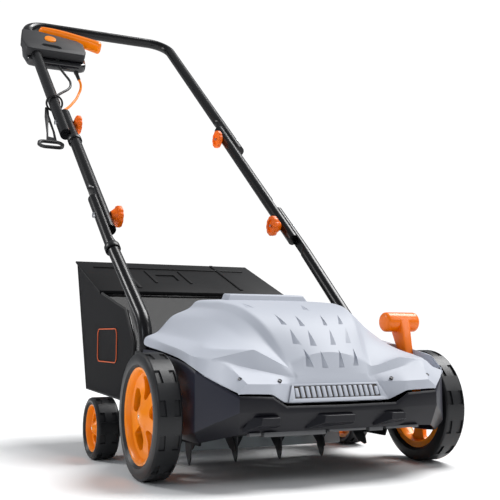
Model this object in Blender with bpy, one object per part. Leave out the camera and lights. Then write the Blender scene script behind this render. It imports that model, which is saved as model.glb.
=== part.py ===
"""Electric lawn dethatcher with a folding handle and a rear grass box.

Metres, +Z up. +X is the machine's own left seen from the front, +Y runs to the rear.
Every sub-part is modelled in machine coordinates, with the front wheels' axle line
above Y = 0, and hangs from one empty that puts the footprint's middle over the origin.
"""
import math

import bmesh
import bpy
from mathutils import Matrix, Vector

# ---------------------------------------------------------------- driving dimensions
ORIGIN_SHIFT = (0.0067, -0.5642, 0.0)     # puts the bounding box's middle over the origin
GAP = 0.0003                  # between pieces that touch

FRONT_WHEEL_R = 0.095
FRONT_WHEEL_W = 0.042
FRONT_WHEEL_X = 0.2505
REAR_WHEEL_R = 0.0535
REAR_WHEEL_W = 0.0407
REAR_WHEEL_X = 0.2542
REAR_AXLE_Y = 0.252
AXLE_R = 0.005
BORE_R = AXLE_R + GAP
WHEEL_WINDOWS = 5

CRANK_Y, CRANK_Z = -0.040, 0.118      # the bar that the height lever turns
LEVER_X = 0.206
LEVER_TOP_Y, LEVER_TOP_Z = 0.000, 0.228

REEL_Y, REEL_Z = 0.075, 0.075
KNIFE_R = 0.068
KNIFE_PITCH = 0.0205
KNIVES_PER_SET = 4
KNIFE_SETS = 4
KNIFE_FIRST_X = -0.159
KNIFE_THICK = 0.002
SHAFT_R = 0.006
CHAMBER_R = 0.078
WALL = 0.0035
CHAMBER_HALF_X = 0.168
PLATE_HALF_X = CHAMBER_HALF_X + WALL

MOTOR_Y, MOTOR_Z, MOTOR_R = 0.080, 0.196, 0.038
MOTOR_PULLEY_R, REEL_PULLEY_R = 0.012, 0.035
BELT_THICK = 0.003
BELT_X0, BELT_X1 = -0.1885, -0.1795

BUMPER_HALF_X = 0.218
BUMPER_WALL = 0.004

HANDLE_ANGLE = math.radians(38.8)     # of the handle above the ground
UPPER_PIVOT = Vector((0.0, 0.757, 0.7191))
LOWER_PIVOT_S = -0.42                 # along the handle, from the upper pivot
BAR_S = 0.661
BAR_BEND_R = 0.060
UPPER_TUBE_X, UPPER_TUBE_R = 0.221, 0.01425
MIDDLE_TUBE_X, MIDDLE_TUBE_R = 0.2056, 0.013
LOWER_TUBE_X, LOWER_TUBE_FOOT_X, LOWER_TUBE_R = 0.214, 0.207, 0.01175
LOWER_TUBE_FOOT_Y = 0.1515
TUBE_WALL = 0.0012
TAIL = 0.060                          # tube end beyond a pivot
FLAT = 0.105                          # length of the flattened stretch
UPPER_FACE_X = 0.21355                # plane where the flattened tubes meet
LOWER_FACE_X = 0.2098
BOLT_R = 0.003
KNOB_R = 0.0225
KNOB_LOBES = 10

BOX_X0, BOX_X1 = -0.250, -0.084       # switch box, in handle coordinates
BOX_S0, BOX_S1 = 0.425, 0.565
BOX_W0, BOX_W1 = -0.030, 0.020
BOX_WALL = 0.003
BAIL_X, BAIL_S = -0.185, 0.594
BAIL_TILT = math.radians(-24.0)
BUTTON_X, BUTTON_S = -0.172, 0.512

CORD_D = 0.007
BAG_HALF_X = 0.205
BAG_WALL = 0.0025

# ---------------------------------------------------------------- materials
HOOD_GREY = ("hood_grey", (0.63, 0.66, 0.74), 0.32, 0.0)
BLACK_PLASTIC = ("black_plastic", (0.014, 0.014, 0.017), 0.42, 0.0)
GLOSS_BLACK = ("gloss_black_paint", (0.010, 0.010, 0.011), 0.18, 0.0)
ORANGE = ("orange_plastic", (0.90, 0.20, 0.008), 0.35, 0.0)
RUBBER = ("tyre_rubber", (0.016, 0.016, 0.018), 0.60, 0.0)
STEEL = ("bright_steel", (0.55, 0.56, 0.58), 0.30, 1.0)
MOTOR_METAL = ("motor_metal", (0.030, 0.030, 0.032), 0.45, 1.0)
KNIFE_STEEL = ("dark_knife_steel", (0.09, 0.09, 0.095), 0.40, 1.0)
BELT_RUBBER = ("belt_rubber", (0.02, 0.02, 0.02), 0.75, 0.0)
MESH_FABRIC = ("mesh_fabric", (0.055, 0.055, 0.060), 0.85, 0.0)
CORD_ORANGE = ("cord_orange", (0.92, 0.27, 0.01), 0.45, 0.0)


# ---------------------------------------------------------------- small tools
def start_empty():
    """Remove the objects that the scene starts with."""
    for old in list(bpy.data.objects):
        bpy.data.objects.remove(old, do_unlink=True)


def material(look):
    """Return the Principled material of one look, made once."""
    name, colour, roughness, metallic = look
    found = bpy.data.materials.get(name)
    if found:
        return found
    made = bpy.data.materials.new(name)
    made.use_nodes = True
    shader = made.node_tree.nodes["Principled BSDF"]
    shader.inputs["Base Color"].default_value = (*colour, 1.0)
    shader.inputs["Roughness"].default_value = roughness
    shader.inputs["Metallic"].default_value = metallic
    return made


def new_object(name, bm, look):
    """Make an object from a bmesh, with its faces pointing out."""
    bmesh.ops.remove_doubles(bm, verts=bm.verts, dist=1e-6)
    bmesh.ops.recalc_face_normals(bm, faces=bm.faces)
    mesh = bpy.data.meshes.new(name)
    bm.to_mesh(mesh)
    bm.free()
    made = bpy.data.objects.new(name, mesh)
    bpy.context.collection.objects.link(made)
    mesh.materials.append(material(look))
    return made


def smooth(piece, angle=35.0):
    """Shade a round piece smooth, keeping its hard edges."""
    piece.data.shade_smooth()
    piece.data.set_sharp_from_angle(angle=math.radians(angle))
    return piece


def handle_point(x, s, w):
    """Point at x across, s up along the handle from the upper pivot, w above it."""
    along = Vector((0.0, math.cos(HANDLE_ANGLE), math.sin(HANDLE_ANGLE)))
    above = Vector((0.0, -math.sin(HANDLE_ANGLE), math.cos(HANDLE_ANGLE)))
    return Vector((x, UPPER_PIVOT.y, UPPER_PIVOT.z)) + s * along + w * above


LOWER_PIVOT = handle_point(0.0, LOWER_PIVOT_S, 0.0)


def prism_x(name, outline, x0, x1, look):
    """Extrude an outline of (y, z) points from x0 to x1."""
    bm = bmesh.new()
    verts = [bm.verts.new((x0, y, z)) for y, z in outline]
    face = bm.faces.new(verts)
    grown = bmesh.ops.extrude_face_region(bm, geom=[face])
    moved = [item for item in grown["geom"] if isinstance(item, bmesh.types.BMVert)]
    bmesh.ops.translate(bm, verts=moved, vec=(x1 - x0, 0.0, 0.0))
    return new_object(name, bm, look)


def slab(name, plan, z0, z1, look):
    """Extrude a plan of (x, y) points from z0 to z1."""
    bm = bmesh.new()
    face = bm.faces.new([bm.verts.new((x, y, z0)) for x, y in plan])
    grown = bmesh.ops.extrude_face_region(bm, geom=[face])
    moved = [item for item in grown["geom"] if isinstance(item, bmesh.types.BMVert)]
    bmesh.ops.translate(bm, verts=moved, vec=(0.0, 0.0, z1 - z0))
    return new_object(name, bm, look)


def handle_prism(name, outline, w0, w1, look):
    """Extrude an outline of (x, s) handle points from w0 to w1."""
    bm = bmesh.new()
    face = bm.faces.new([bm.verts.new(handle_point(x, s, w0)) for x, s in outline])
    grown = bmesh.ops.extrude_face_region(bm, geom=[face])
    moved = [item for item in grown["geom"] if isinstance(item, bmesh.types.BMVert)]
    rise = handle_point(0.0, 0.0, w1) - handle_point(0.0, 0.0, w0)
    bmesh.ops.translate(bm, verts=moved, vec=rise)
    return new_object(name, bm, look)


def box(name, low, high, look):
    """Plain block between two corners."""
    outline = [(low[1], low[2]), (high[1], low[2]), (high[1], high[2]), (low[1], high[2])]
    return prism_x(name, outline, low[0], high[0], look)


def handle_box(name, x0, x1, s0, s1, w0, w1, look):
    """Plain block in handle coordinates."""
    return handle_prism(name, [(x0, s0), (x1, s0), (x1, s1), (x0, s1)], w0, w1, look)


def turned(name, profile, centre, look, segments=40):
    """Spin a closed profile of (x, radius) points about the X line through centre."""
    bm = bmesh.new()
    verts = [bm.verts.new((x, 0.0, radius)) for x, radius in profile]
    loops = [(verts[i], verts[(i + 1) % len(verts)]) for i in range(len(verts))]
    edges = [bm.edges.new(pair) for pair in loops if pair[0].co.z > 0 or pair[1].co.z > 0]
    bmesh.ops.spin(bm, geom=verts + edges, cent=(0, 0, 0), axis=(1, 0, 0),
                   angle=math.tau, steps=segments, use_merge=True)
    bmesh.ops.dissolve_degenerate(bm, dist=1e-7, edges=bm.edges)
    bmesh.ops.translate(bm, verts=bm.verts, vec=centre)
    return smooth(new_object(name, bm, look))


def rod_x(name, x0, x1, y, z, radius, look, segments=20):
    """Round bar along X."""
    bm = bmesh.new()
    turn = Matrix.Rotation(math.pi / 2, 4, "Y")
    place = Matrix.Translation(((x0 + x1) / 2, y, z)) @ turn
    bmesh.ops.create_cone(bm, cap_ends=True, segments=segments, radius1=radius,
                          radius2=radius, depth=x1 - x0, matrix=place)
    return smooth(new_object(name, bm, look))


def rod_between(name, start, end, radius0, radius1, look, segments=16):
    """Round or tapered bar between two points."""
    line = Vector(end) - Vector(start)
    turn = Vector((0, 0, 1)).rotation_difference(line).to_matrix().to_4x4()
    place = Matrix.Translation((Vector(start) + Vector(end)) / 2) @ turn
    bm = bmesh.new()
    bmesh.ops.create_cone(bm, cap_ends=True, segments=segments, radius1=radius0,
                          radius2=radius1, depth=line.length, matrix=place)
    return smooth(new_object(name, bm, look))


def baked(piece):
    """Apply a piece's modifiers."""
    graph = bpy.context.evaluated_depsgraph_get()
    mesh = bpy.data.meshes.new_from_object(piece.evaluated_get(graph))
    piece.modifiers.clear()
    piece.data = mesh
    return piece


def combine(piece, others, operation):
    """Union others with the piece, or cut them from it, and drop them."""
    for other in others:
        step = piece.modifiers.new(operation.lower(), "BOOLEAN")
        step.operation = operation
        step.solver = "EXACT"
        step.object = other
        baked(piece)
        bpy.data.objects.remove(other, do_unlink=True)
    return piece


def tube(name, points, radius, look, resolution=3, closed=False):
    """Round tube along points, as a curve with a bevel."""
    curve = bpy.data.curves.new(name, "CURVE")
    curve.dimensions = "3D"
    curve.bevel_depth = radius
    curve.bevel_resolution = resolution
    curve.use_fill_caps = not closed
    line = curve.splines.new("POLY")
    line.points.add(len(points) - 1)
    for point, place in zip(line.points, points):
        point.co = (*place, 1.0)
    line.use_cyclic_u = closed
    made = bpy.data.objects.new(name, curve)
    bpy.context.collection.objects.link(made)
    curve.materials.append(material(look))
    return made


def rings_along(bm, points, radius, sides):
    """Rings of vertices round a path, carried along it without twist."""
    rings = []
    side = None
    for i, place in enumerate(points):
        before, after = points[max(i - 1, 0)], points[min(i + 1, len(points) - 1)]
        heading = (after - before).normalized()
        if side is None:
            side = heading.orthogonal().normalized()
        side = (side - heading * side.dot(heading)).normalized()
        across = heading.cross(side)
        ring = []
        for k in range(sides):
            angle = math.tau * (k + 0.5) / sides
            ring.append(bm.verts.new(place + radius * (math.cos(angle) * side
                                                       + math.sin(angle) * across)))
        rings.append(ring)
    return rings


def tube_mesh(name, points, radius, look, sides=16):
    """Hollow tube along points, as a mesh that can be cut."""
    bm = bmesh.new()
    outer = rings_along(bm, points, radius, sides)
    inner = rings_along(bm, points, radius - TUBE_WALL, sides)
    for k in range(sides):
        n = (k + 1) % sides
        for rings in (outer, inner):
            for first, second in zip(rings, rings[1:]):
                bm.faces.new((first[k], first[n], second[n], second[k]))
        for end in (0, -1):
            bm.faces.new((outer[end][k], outer[end][n], inner[end][n], inner[end][k]))
    return smooth(new_object(name, bm, look))


def smooth_route(route, spacing):
    """Read evenly spaced points from a smooth curve through the route's points."""
    ends = [2 * route[0] - route[1], *route, 2 * route[-1] - route[-2]]
    dense = []
    for i in range(len(route) - 1):
        a, b, c, d = ends[i:i + 4]
        for k in range(24):
            t = k / 24
            dense.append(0.5 * (2 * b + (c - a) * t + (2 * a - 5 * b + 4 * c - d) * t * t
                                + (3 * b - a - 3 * c + d) * t ** 3))
    dense.append(route[-1])
    length = sum((q - p).length for p, q in zip(dense, dense[1:]))
    count = max(2, round(length / spacing))
    points, walked, target = [dense[0]], 0.0, length / count
    for p, q in zip(dense, dense[1:]):
        step = (q - p).length
        while walked + step >= target * len(points) and len(points) < count:
            points.append(p.lerp(q, (target * len(points) - walked) / step))
        walked += step
    return points + [dense[-1]]


def set_origin(piece, place):
    """Put a piece's own origin on its joint's axis."""
    place = Vector(place)
    piece.data.transform(Matrix.Translation(-place))
    piece.location = place
    return piece


def mirrored(points):
    """Outline over both halves from the +X half, listed from the middle out."""
    return [(-x, z) for x, z in reversed(points)] + list(points)


# ---------------------------------------------------------------- hood
HOOD_ROWS = [     # front to rear; each row runs from the middle to the skirt's lower edge
    [(0, -.1365, .118), (.060, -.1365, .118), (.078, -.1365, .118), (.092, -.1365, .118),
     (.114, -.1430, .142), (.150, -.1460, .143), (.1585, -.1465, .1430)],
    [(0, -.1230, .147), (.060, -.1230, .147), (.070, -.1230, .147), (.080, -.1240, .147),
     (.113, -.1370, .157), (.157, -.1430, .157), (.1600, -.1455, .1450)],
    [(0, -.1180, .160), (.063, -.1180, .157), (.067, -.1190, .158), (.074, -.1180, .160),
     (.120, -.1250, .162), (.175, -.1300, .165), (.1790, -.1310, .1520)],
    [(0, -.1050, .194), (.067, -.1000, .180), (.073, -.1030, .168), (.088, -.1000, .174),
     (.125, -.1080, .172), (.195, -.1120, .171), (.2000, -.1140, .1600)],
    [(0, -.0800, .218), (.073, -.0800, .203), (.084, -.0800, .194), (.117, -.0800, .197),
     (.150, -.0880, .194), (.212, -.0900, .179), (.2180, -.0950, .1690)],
    [(0, -.0490, .240), (.084, -.0520, .235), (.096, -.0500, .225), (.126, -.0500, .2155),
     (.172, -.0550, .203), (.213, -.0650, .187), (.2190, -.0650, .1780)],
    [(0, -.0120, .256), (.096, -.0120, .258), (.110, -.0120, .247), (.133, -.0110, .231),
     (.179, -.0200, .2065), (.214, -.0300, .195), (.2200, -.0300, .1840)],
    [(0, .0300, .2665), (.105, .0300, .2685), (.118, .0280, .257), (.141, .0250, .240),
     (.184, .0250, .211), (.215, .0200, .201), (.2200, .0150, .1890)],
    [(0, .0800, .281), (.114, .0800, .2745), (.1265, .0850, .262), (.155, .0850, .2485),
     (.189, .0800, .2175), (.215, .0750, .208), (.2200, .0700, .1950)],
    [(0, .1450, .290), (.118, .1430, .277), (.131, .1430, .262), (.163, .1450, .2495),
     (.190, .1390, .221), (.214, .1340, .213), (.2190, .1320, .1990)],
]
HOOD_WALL = 0.003
SLOT_X0, SLOT_X1 = 0.196, 0.2155
SLOT_Y0, SLOT_Y1 = -0.066, 0.010


def make_hood():
    """Moulded cover: a net of feature lines, thickened inwards, slotted for the lever."""
    bm = bmesh.new()
    rows = []
    for row in HOOD_ROWS:
        left = [(-x, y, z) for x, y, z in reversed(row[1:])]
        rows.append([bm.verts.new(place) for place in left + row])
    for front, rear in zip(rows, rows[1:]):
        for i in range(len(front) - 1):
            bm.faces.new((front[i], front[i + 1], rear[i + 1], rear[i]))
    hood = new_object("hood", bm, HOOD_GREY)
    if sum(face.normal.z for face in hood.data.polygons) < 0:
        hood.data.flip_normals()
    wall = hood.modifiers.new("wall", "SOLIDIFY")
    wall.thickness = HOOD_WALL
    wall.offset = -1.0
    baked(hood)
    slot = box("lever_slot", (SLOT_X0, SLOT_Y0, 0.12), (SLOT_X1, SLOT_Y1, 0.27), HOOD_GREY)
    nose = prism_x("nose_window", [(-.150, .121), (-.118, .121), (-.118, .144), (-.150, .144)],
                   -0.076, 0.076, HOOD_GREY)
    return combine(hood, [slot, nose], "DIFFERENCE")


def make_vent_grille():
    """Sloped insert in the nose, with a row of upright slots."""
    outline = [(-.1366, .1215), (-.1336, .1215), (-.1232, .1436), (-.1262, .1436)]
    grille = prism_x("vent_grille", outline, -0.0755, 0.0755, HOOD_GREY)
    slots = 15
    pitch = 0.0088
    cutters = []
    for i in range(slots):
        middle = (i - (slots - 1) / 2) * pitch
        cutters.append(box("slot", (middle - .0026, -.150, .1255), (middle + .0026, -.110, .1400),
                           HOOD_GREY))
    return combine(grille, cutters, "DIFFERENCE")


# ---------------------------------------------------------------- chassis
BUMPER_PLAN = [   # (x, y, top z) down the right side, front to rear
    (.000, -.1500, .1140), (.094, -.1500, .1140), (.113, -.1500, .1375), (.159, -.1500, .1385),
    (.218, -.1010, .1640), (.218, -.0650, .1735), (.218, -.0300, .1795), (.218, .0150, .1845),
    (.218, .0700, .1905), (.218, .1350, .1930)]
BUMPER_FOOT_Z = 0.064


def bumper_inner(x, y):
    """Inner face of the bumper's wall at one outer plan point."""
    if x >= BUMPER_HALF_X - 1e-6:
        shift = 0.0018 if y < -0.1 else 0.0
        return x - BUMPER_WALL, y + shift
    return (x - 0.0018 if x > 0.15 else x), y + BUMPER_WALL


def make_bumper():
    """Black wrap-round skirt: one bent wall with three blocks on its face."""
    bm = bmesh.new()
    left = [(-x, y, z) for x, y, z in reversed(BUMPER_PLAN[1:])]
    rings = []
    for x, y, top in left + BUMPER_PLAN:
        inner_x, inner_y = bumper_inner(abs(x), y)
        inner_x = math.copysign(inner_x, x)
        places = [(x, y, BUMPER_FOOT_Z), (x, y, top), (inner_x, inner_y, top),
                  (inner_x, inner_y, BUMPER_FOOT_Z)]
        rings.append([bm.verts.new(place) for place in places])
    for a, b in zip(rings, rings[1:]):
        for i in range(4):
            bm.faces.new((a[i], a[(i + 1) % 4], b[(i + 1) % 4], b[i]))
    bm.faces.new(rings[0])
    bm.faces.new(list(reversed(rings[-1])))
    bumper = new_object("front_bumper", bm, BLACK_PLASTIC)
    blocks = []
    for middle, half in ((-.110, .024), (0.005, .036), (.106, .022)):
        outline = [(-.1480, .078), (-.1580, .090), (-.1580, .104), (-.1480, .108)]
        blocks.append(prism_x("block", outline, middle - half, middle + half, BLACK_PLASTIC))
    combine(bumper, blocks, "UNION")
    crank_hole = rod_x("hole", -.23, .23, CRANK_Y, CRANK_Z, AXLE_R + 0.0006, BLACK_PLASTIC)
    return combine(bumper, [crank_hole], "DIFFERENCE")


def arc_points(centre, radius, start, end, steps):
    """Points (y, z) on an arc, angles in degrees from +Y."""
    angles = [math.radians(start + (end - start) * i / steps) for i in range(steps + 1)]
    return [(centre[0] + radius * math.cos(a), centre[1] + radius * math.sin(a)) for a in angles]


def make_reel_housing():
    """Arched tunnel over the reel, with its two end plates and the front web."""
    centre = (REEL_Y, REEL_Z)
    inner = arc_points(centre, CHAMBER_R, 192, 62, 12)
    outer = arc_points(centre, CHAMBER_R + WALL, 62, 192, 12)
    chute_low, chute_high = (.152, .1630), (.150, .1665)
    roof = prism_x("reel_housing", inner + [chute_low, chute_high] + outer,
                   -PLATE_HALF_X, PLATE_HALF_X, BLACK_PLASTIC)
    plan = [(-.1500, -.1455), (.1500, -.1455), (.1690, -.1310), (.1690, -.0015),
            (-.1690, -.0015), (-.1690, -.1310)]
    web = slab("web", plan, .098, .1015, BLACK_PLASTIC)
    plate = [(-.1300, .0985), (-.012, .062), (-.004, .046), (.136, .046), (.152, .100),
             (.152, .158), (.119, .166), (.108, .207), (.052, .207), (.040, .180),
             (-.030, .142), (-.1300, .110)]
    plates = [prism_x("plate", plate, side * CHAMBER_HALF_X, side * PLATE_HALF_X, BLACK_PLASTIC)
              for side in (-1, 1)]
    combine(roof, [web] + plates, "UNION")
    holes = [rod_x("hole", -.18, .18, REEL_Y, REEL_Z, 0.0163, BLACK_PLASTIC, 24),
             rod_x("hole", -.18, .18, CRANK_Y, CRANK_Z, AXLE_R + 0.0006, BLACK_PLASTIC),
             rod_x("hole", -.18, -.16, MOTOR_Y, MOTOR_Z, 0.0055, BLACK_PLASTIC)]
    return combine(roof, holes, "DIFFERENCE")


def make_rear_cover():
    """Plate that closes the hood's rear end."""
    half = [(.112, .2695), (.124, .2560), (.153, .2420), (.182, .2150), (.207, .2040),
            (.209, .1950), (.205, .1700)]
    outline = [(-x, z) for x, z in half] + [(x, z) for x, z in reversed(half)]
    bm = bmesh.new()
    places = [(x, .1215, z) for x, z in outline]
    places.append((0.0, .1215, .2790))
    face = bm.faces.new([bm.verts.new(place) for place in places])
    grown = bmesh.ops.extrude_face_region(bm, geom=[face])
    moved = [item for item in grown["geom"] if isinstance(item, bmesh.types.BMVert)]
    bmesh.ops.translate(bm, verts=moved, vec=(0.0, .0030, 0.0))
    return new_object("rear_cover", bm, BLACK_PLASTIC)


def make_rear_deflector():
    """Steel plate that hangs behind the reel."""
    outline = [(.1400, .0200), (.1420, .0190), (.1500, .0960), (.1480, .0965)]
    return prism_x("rear_deflector", outline, -0.1675, 0.1675, STEEL)


def make_rear_flap():
    """Hinged discharge flap, lifted over the grass box's mouth."""
    hinge_y, hinge_z = .1590, .1790
    plate = box("rear_flap", (-.160, hinge_y, hinge_z - .0015), (.160, .242, hinge_z + .0015),
                BLACK_PLASTIC)
    roll = rod_x("roll", -.160, .160, hinge_y, hinge_z, .0045, BLACK_PLASTIC, 16)
    combine(plate, [roll], "UNION")
    return set_origin(plate, (0.0, hinge_y, hinge_z))


def make_brackets():
    """Side blocks that hold the handle's foot and the rear axle."""
    outline = [(.1358, .090), (.1358, .190), (.1675, .190), (.1780, .120), (.2680, .078),
               (.2680, .038), (.2350, .036)]
    for side, word in ((-1, "left"), (1, "right")):
        inner, outer = side * .1735, side * .2215
        block = prism_x("handle_bracket_" + word, outline, inner, outer, BLACK_PLASTIC)
        foot = (side * LOWER_TUBE_FOOT_X, LOWER_TUBE_FOOT_Y, .105)
        top = (side * LOWER_TUBE_FOOT_X, LOWER_TUBE_FOOT_Y, .200)
        socket = rod_between("socket", foot, top, LOWER_TUBE_R + GAP, LOWER_TUBE_R + GAP,
                             BLACK_PLASTIC, 20)
        axle_hole = rod_x("hole", -.23, .23, REAR_AXLE_Y, REAR_WHEEL_R, BORE_R, BLACK_PLASTIC)
        combine(block, [socket, axle_hole], "DIFFERENCE")


# ---------------------------------------------------------------- drive and reel
def make_motor():
    """Motor can with its two end bells and a blind bore for the rotor's shaft."""
    profile = [(-.078, .0043), (-.078, .018), (-.072, .022), (-.068, MOTOR_R - .004),
               (-.058, MOTOR_R), (.058, MOTOR_R), (.070, MOTOR_R - .006), (.074, .0),
               (-.040, .0), (-.040, .0043)]
    return turned("motor", profile, (0.0, MOTOR_Y, MOTOR_Z), MOTOR_METAL, 32)


def make_motor_pulley():
    """Rotor shaft with the small belt pulley on its end."""
    profile = [(-.1915, .0), (-.1915, .0040), (-.1900, .0040), (-.1900, .0145), (-.1888, .0145),
               (-.1888, MOTOR_PULLEY_R), (-.1792, MOTOR_PULLEY_R), (-.1792, .0145),
               (-.1780, .0145), (-.1780, .0040), (-.0405, .0040), (-.0405, .0)]
    return turned("motor_pulley", profile, (0.0, MOTOR_Y, MOTOR_Z), STEEL, 24)


def make_reel_pulley():
    """Large flanged pulley on the reel's shaft."""
    bore = SHAFT_R + GAP
    profile = [(-.1900, bore), (-.1900, .0375), (-.1888, .0375), (-.1888, REEL_PULLEY_R),
               (-.1792, REEL_PULLEY_R), (-.1792, .0375), (-.1780, .0375), (-.1780, bore)]
    return turned("reel_pulley", profile, (0.0, REEL_Y, REEL_Z), BLACK_PLASTIC, 32)


def belt_outline(extra):
    """Outline of the belt round both pulleys, extra outside their rims."""
    small, large = MOTOR_PULLEY_R + extra, REEL_PULLEY_R + extra
    rise = math.atan2(MOTOR_Z - REEL_Z, MOTOR_Y - REEL_Y)
    spread = math.acos((large - small) / math.hypot(MOTOR_Z - REEL_Z, MOTOR_Y - REEL_Y))
    top = arc_points((MOTOR_Y, MOTOR_Z), small, math.degrees(rise - spread),
                     math.degrees(rise + spread), 10)
    low = arc_points((REEL_Y, REEL_Z), large, math.degrees(rise + spread),
                     math.degrees(rise - spread + math.tau), 18)
    return top + low


def make_belt():
    """Flat drive belt."""
    belt = prism_x("drive_belt", belt_outline(GAP + BELT_THICK), BELT_X0, BELT_X1, BELT_RUBBER)
    core = prism_x("core", belt_outline(GAP), BELT_X0 - .01, BELT_X1 + .01, BELT_RUBBER)
    return smooth(combine(belt, [core], "DIFFERENCE"))


def make_reel():
    """Shaft, two bearings and the knife sets."""
    shaft = rod_x("reel_shaft", -.1925, .1800, REEL_Y, REEL_Z, SHAFT_R, STEEL, 24)
    set_origin(shaft, (0.0, REEL_Y, REEL_Z))
    ring = [(-.0048, SHAFT_R + GAP), (-.0048, .0160), (.0048, .0160), (.0048, SHAFT_R + GAP)]
    for side, word in ((-1, "left"), (1, "right")):
        turned("bearing_" + word, ring, (side * .1710, REEL_Y, REEL_Z), STEEL, 24)
    for number in range(KNIFE_SETS):
        make_knife_set(number)


def make_knife_set(number):
    """Four double-ended knives, each turned an eighth on, on one spacer sleeve."""
    first = KNIFE_FIRST_X + number * KNIVES_PER_SET * KNIFE_PITCH
    length = KNIVES_PER_SET * KNIFE_PITCH - 2 * GAP
    bore = SHAFT_R + GAP
    sleeve = [(0.0, bore), (0.0, .0105), (length, .0105), (length, bore)]
    knives = turned("knife_set_%d" % (number + 1), sleeve, (first - .0035, REEL_Y, REEL_Z),
                    KNIFE_STEEL, 16)
    blades = []
    half = [(.011, -.004), (.012, .018), (.0125, .038), (.0115, .058), (.006, KNIFE_R),
            (.001, .0655), (-.009, .050), (-.0115, .034), (-.012, .018), (-.011, .004)]
    outline = half + [(-y, -z) for y, z in half]
    for i in range(KNIVES_PER_SET):
        x = first + i * KNIFE_PITCH
        blade = prism_x("blade", outline, x, x + KNIFE_THICK, KNIFE_STEEL)
        hole = rod_x("hole", x - .01, x + .01, 0.0, 0.0, .0085, KNIFE_STEEL, 12)
        combine(blade, [hole], "DIFFERENCE")
        turn = Matrix.Rotation(math.radians(45.0 * i), 4, "X")
        blade.data.transform(Matrix.Translation((0.0, REEL_Y, REEL_Z)) @ turn)
        blades.append(blade)
    combine(knives, blades, "UNION")
    return set_origin(knives, (0.0, REEL_Y, REEL_Z))


# ---------------------------------------------------------------- wheels
def make_tyre(name, radius, width, seat, x, y):
    """Tyre with rounded shoulders, hollow inside its bead seat."""
    half = width / 2
    profile = [(-half * .78, seat), (-half * .97, seat + .004), (-half, radius * .91),
               (-half * .88, radius * .981), (-half * .70, radius), (half * .70, radius),
               (half * .88, radius * .981), (half, radius * .91), (half * .97, seat + .004),
               (half * .78, seat)]
    tyre = turned(name, profile, (x, y, radius), RUBBER, 32)
    return set_origin(tyre, (x, y, radius))


def make_rim(name, radius, seat, side, x, y):
    """Dished rim with five windows and a closed hub on its outer side."""
    deep = radius * .16
    out = radius * .10
    hub = max(.0105, radius * .17)
    profile = [(side * .0150, .0), (side * .0150, hub * .70), (side * .0120, hub),
               (side * out * .2, hub * 1.1), (side * -.004, seat * .80), (side * .0130, seat * .93),
               (side * .0150, seat), (side * -.0150, seat), (side * -.0150, seat * .93),
               (side * -.0100, seat * .80), (side * -.0060, hub * 1.1), (side * -deep, hub),
               (side * -deep, BORE_R), (side * .0105, BORE_R), (side * .0105, .0)]
    rim = turned(name, profile, (x, y, radius), ORANGE, 32)
    windows = []
    for i in range(WHEEL_WINDOWS):
        inner, outer = seat * .36, seat * .76
        wedge = []
        for spot_radius, spread in ((inner, 13), (outer, 24), (outer * 1.03, 0), (outer, -24),
                                    (inner, -13)):
            angle = math.radians(90 + 36 + i * 360 / WHEEL_WINDOWS + spread)
            wedge.append((y + spot_radius * math.cos(angle), radius + spot_radius * math.sin(angle)))
        windows.append(prism_x("window", wedge, x - .04, x + .04, ORANGE))
    combine(rim, windows, "DIFFERENCE")
    return set_origin(rim, (x, y, radius))


def make_wheels():
    """Two large front wheels and two small rear wheels."""
    for side, word in ((-1, "left"), (1, "right")):
        x = side * FRONT_WHEEL_X
        make_tyre("tyre_front_" + word, FRONT_WHEEL_R, FRONT_WHEEL_W, .0731, x, 0.0)
        make_rim("rim_front_" + word, FRONT_WHEEL_R, .0728, side, x, 0.0)
        x = side * REAR_WHEEL_X
        make_tyre("tyre_rear_" + word, REAR_WHEEL_R, REAR_WHEEL_W, .0411, x, REAR_AXLE_Y)
        make_rim("rim_rear_" + word, REAR_WHEEL_R, .0408, side, x, REAR_AXLE_Y)


def make_axles():
    """Cranked front axle and the straight rear axle."""
    axle = rod_x("front_axle", -.2262, .2262, CRANK_Y, CRANK_Z, AXLE_R, STEEL)
    arm = capsule_outline((CRANK_Y, CRANK_Z), (0.0, FRONT_WHEEL_R), .0085)
    extras = []
    for side in (-1, 1):
        low, high = sorted((side * .2205, side * .2265))
        extras.append(prism_x("arm", arm, low, high, STEEL))
        low, high = sorted((side * .2215, side * .2600))
        extras.append(rod_x("stub", low, high, 0.0, FRONT_WHEEL_R, AXLE_R, STEEL))
    combine(axle, extras, "UNION")
    set_origin(axle, (0.0, CRANK_Y, CRANK_Z))
    rod_x("rear_axle", -.2640, .2640, REAR_AXLE_Y, REAR_WHEEL_R, AXLE_R, STEEL)


def capsule_outline(start, end, radius):
    """Outline of a bar with round ends between two (y, z) points."""
    heading = math.degrees(math.atan2(end[1] - start[1], end[0] - start[0]))
    far = arc_points(end, radius, heading - 90, heading + 90, 8)
    near = arc_points(start, radius, heading + 90, heading + 270, 8)
    return far + near


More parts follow.
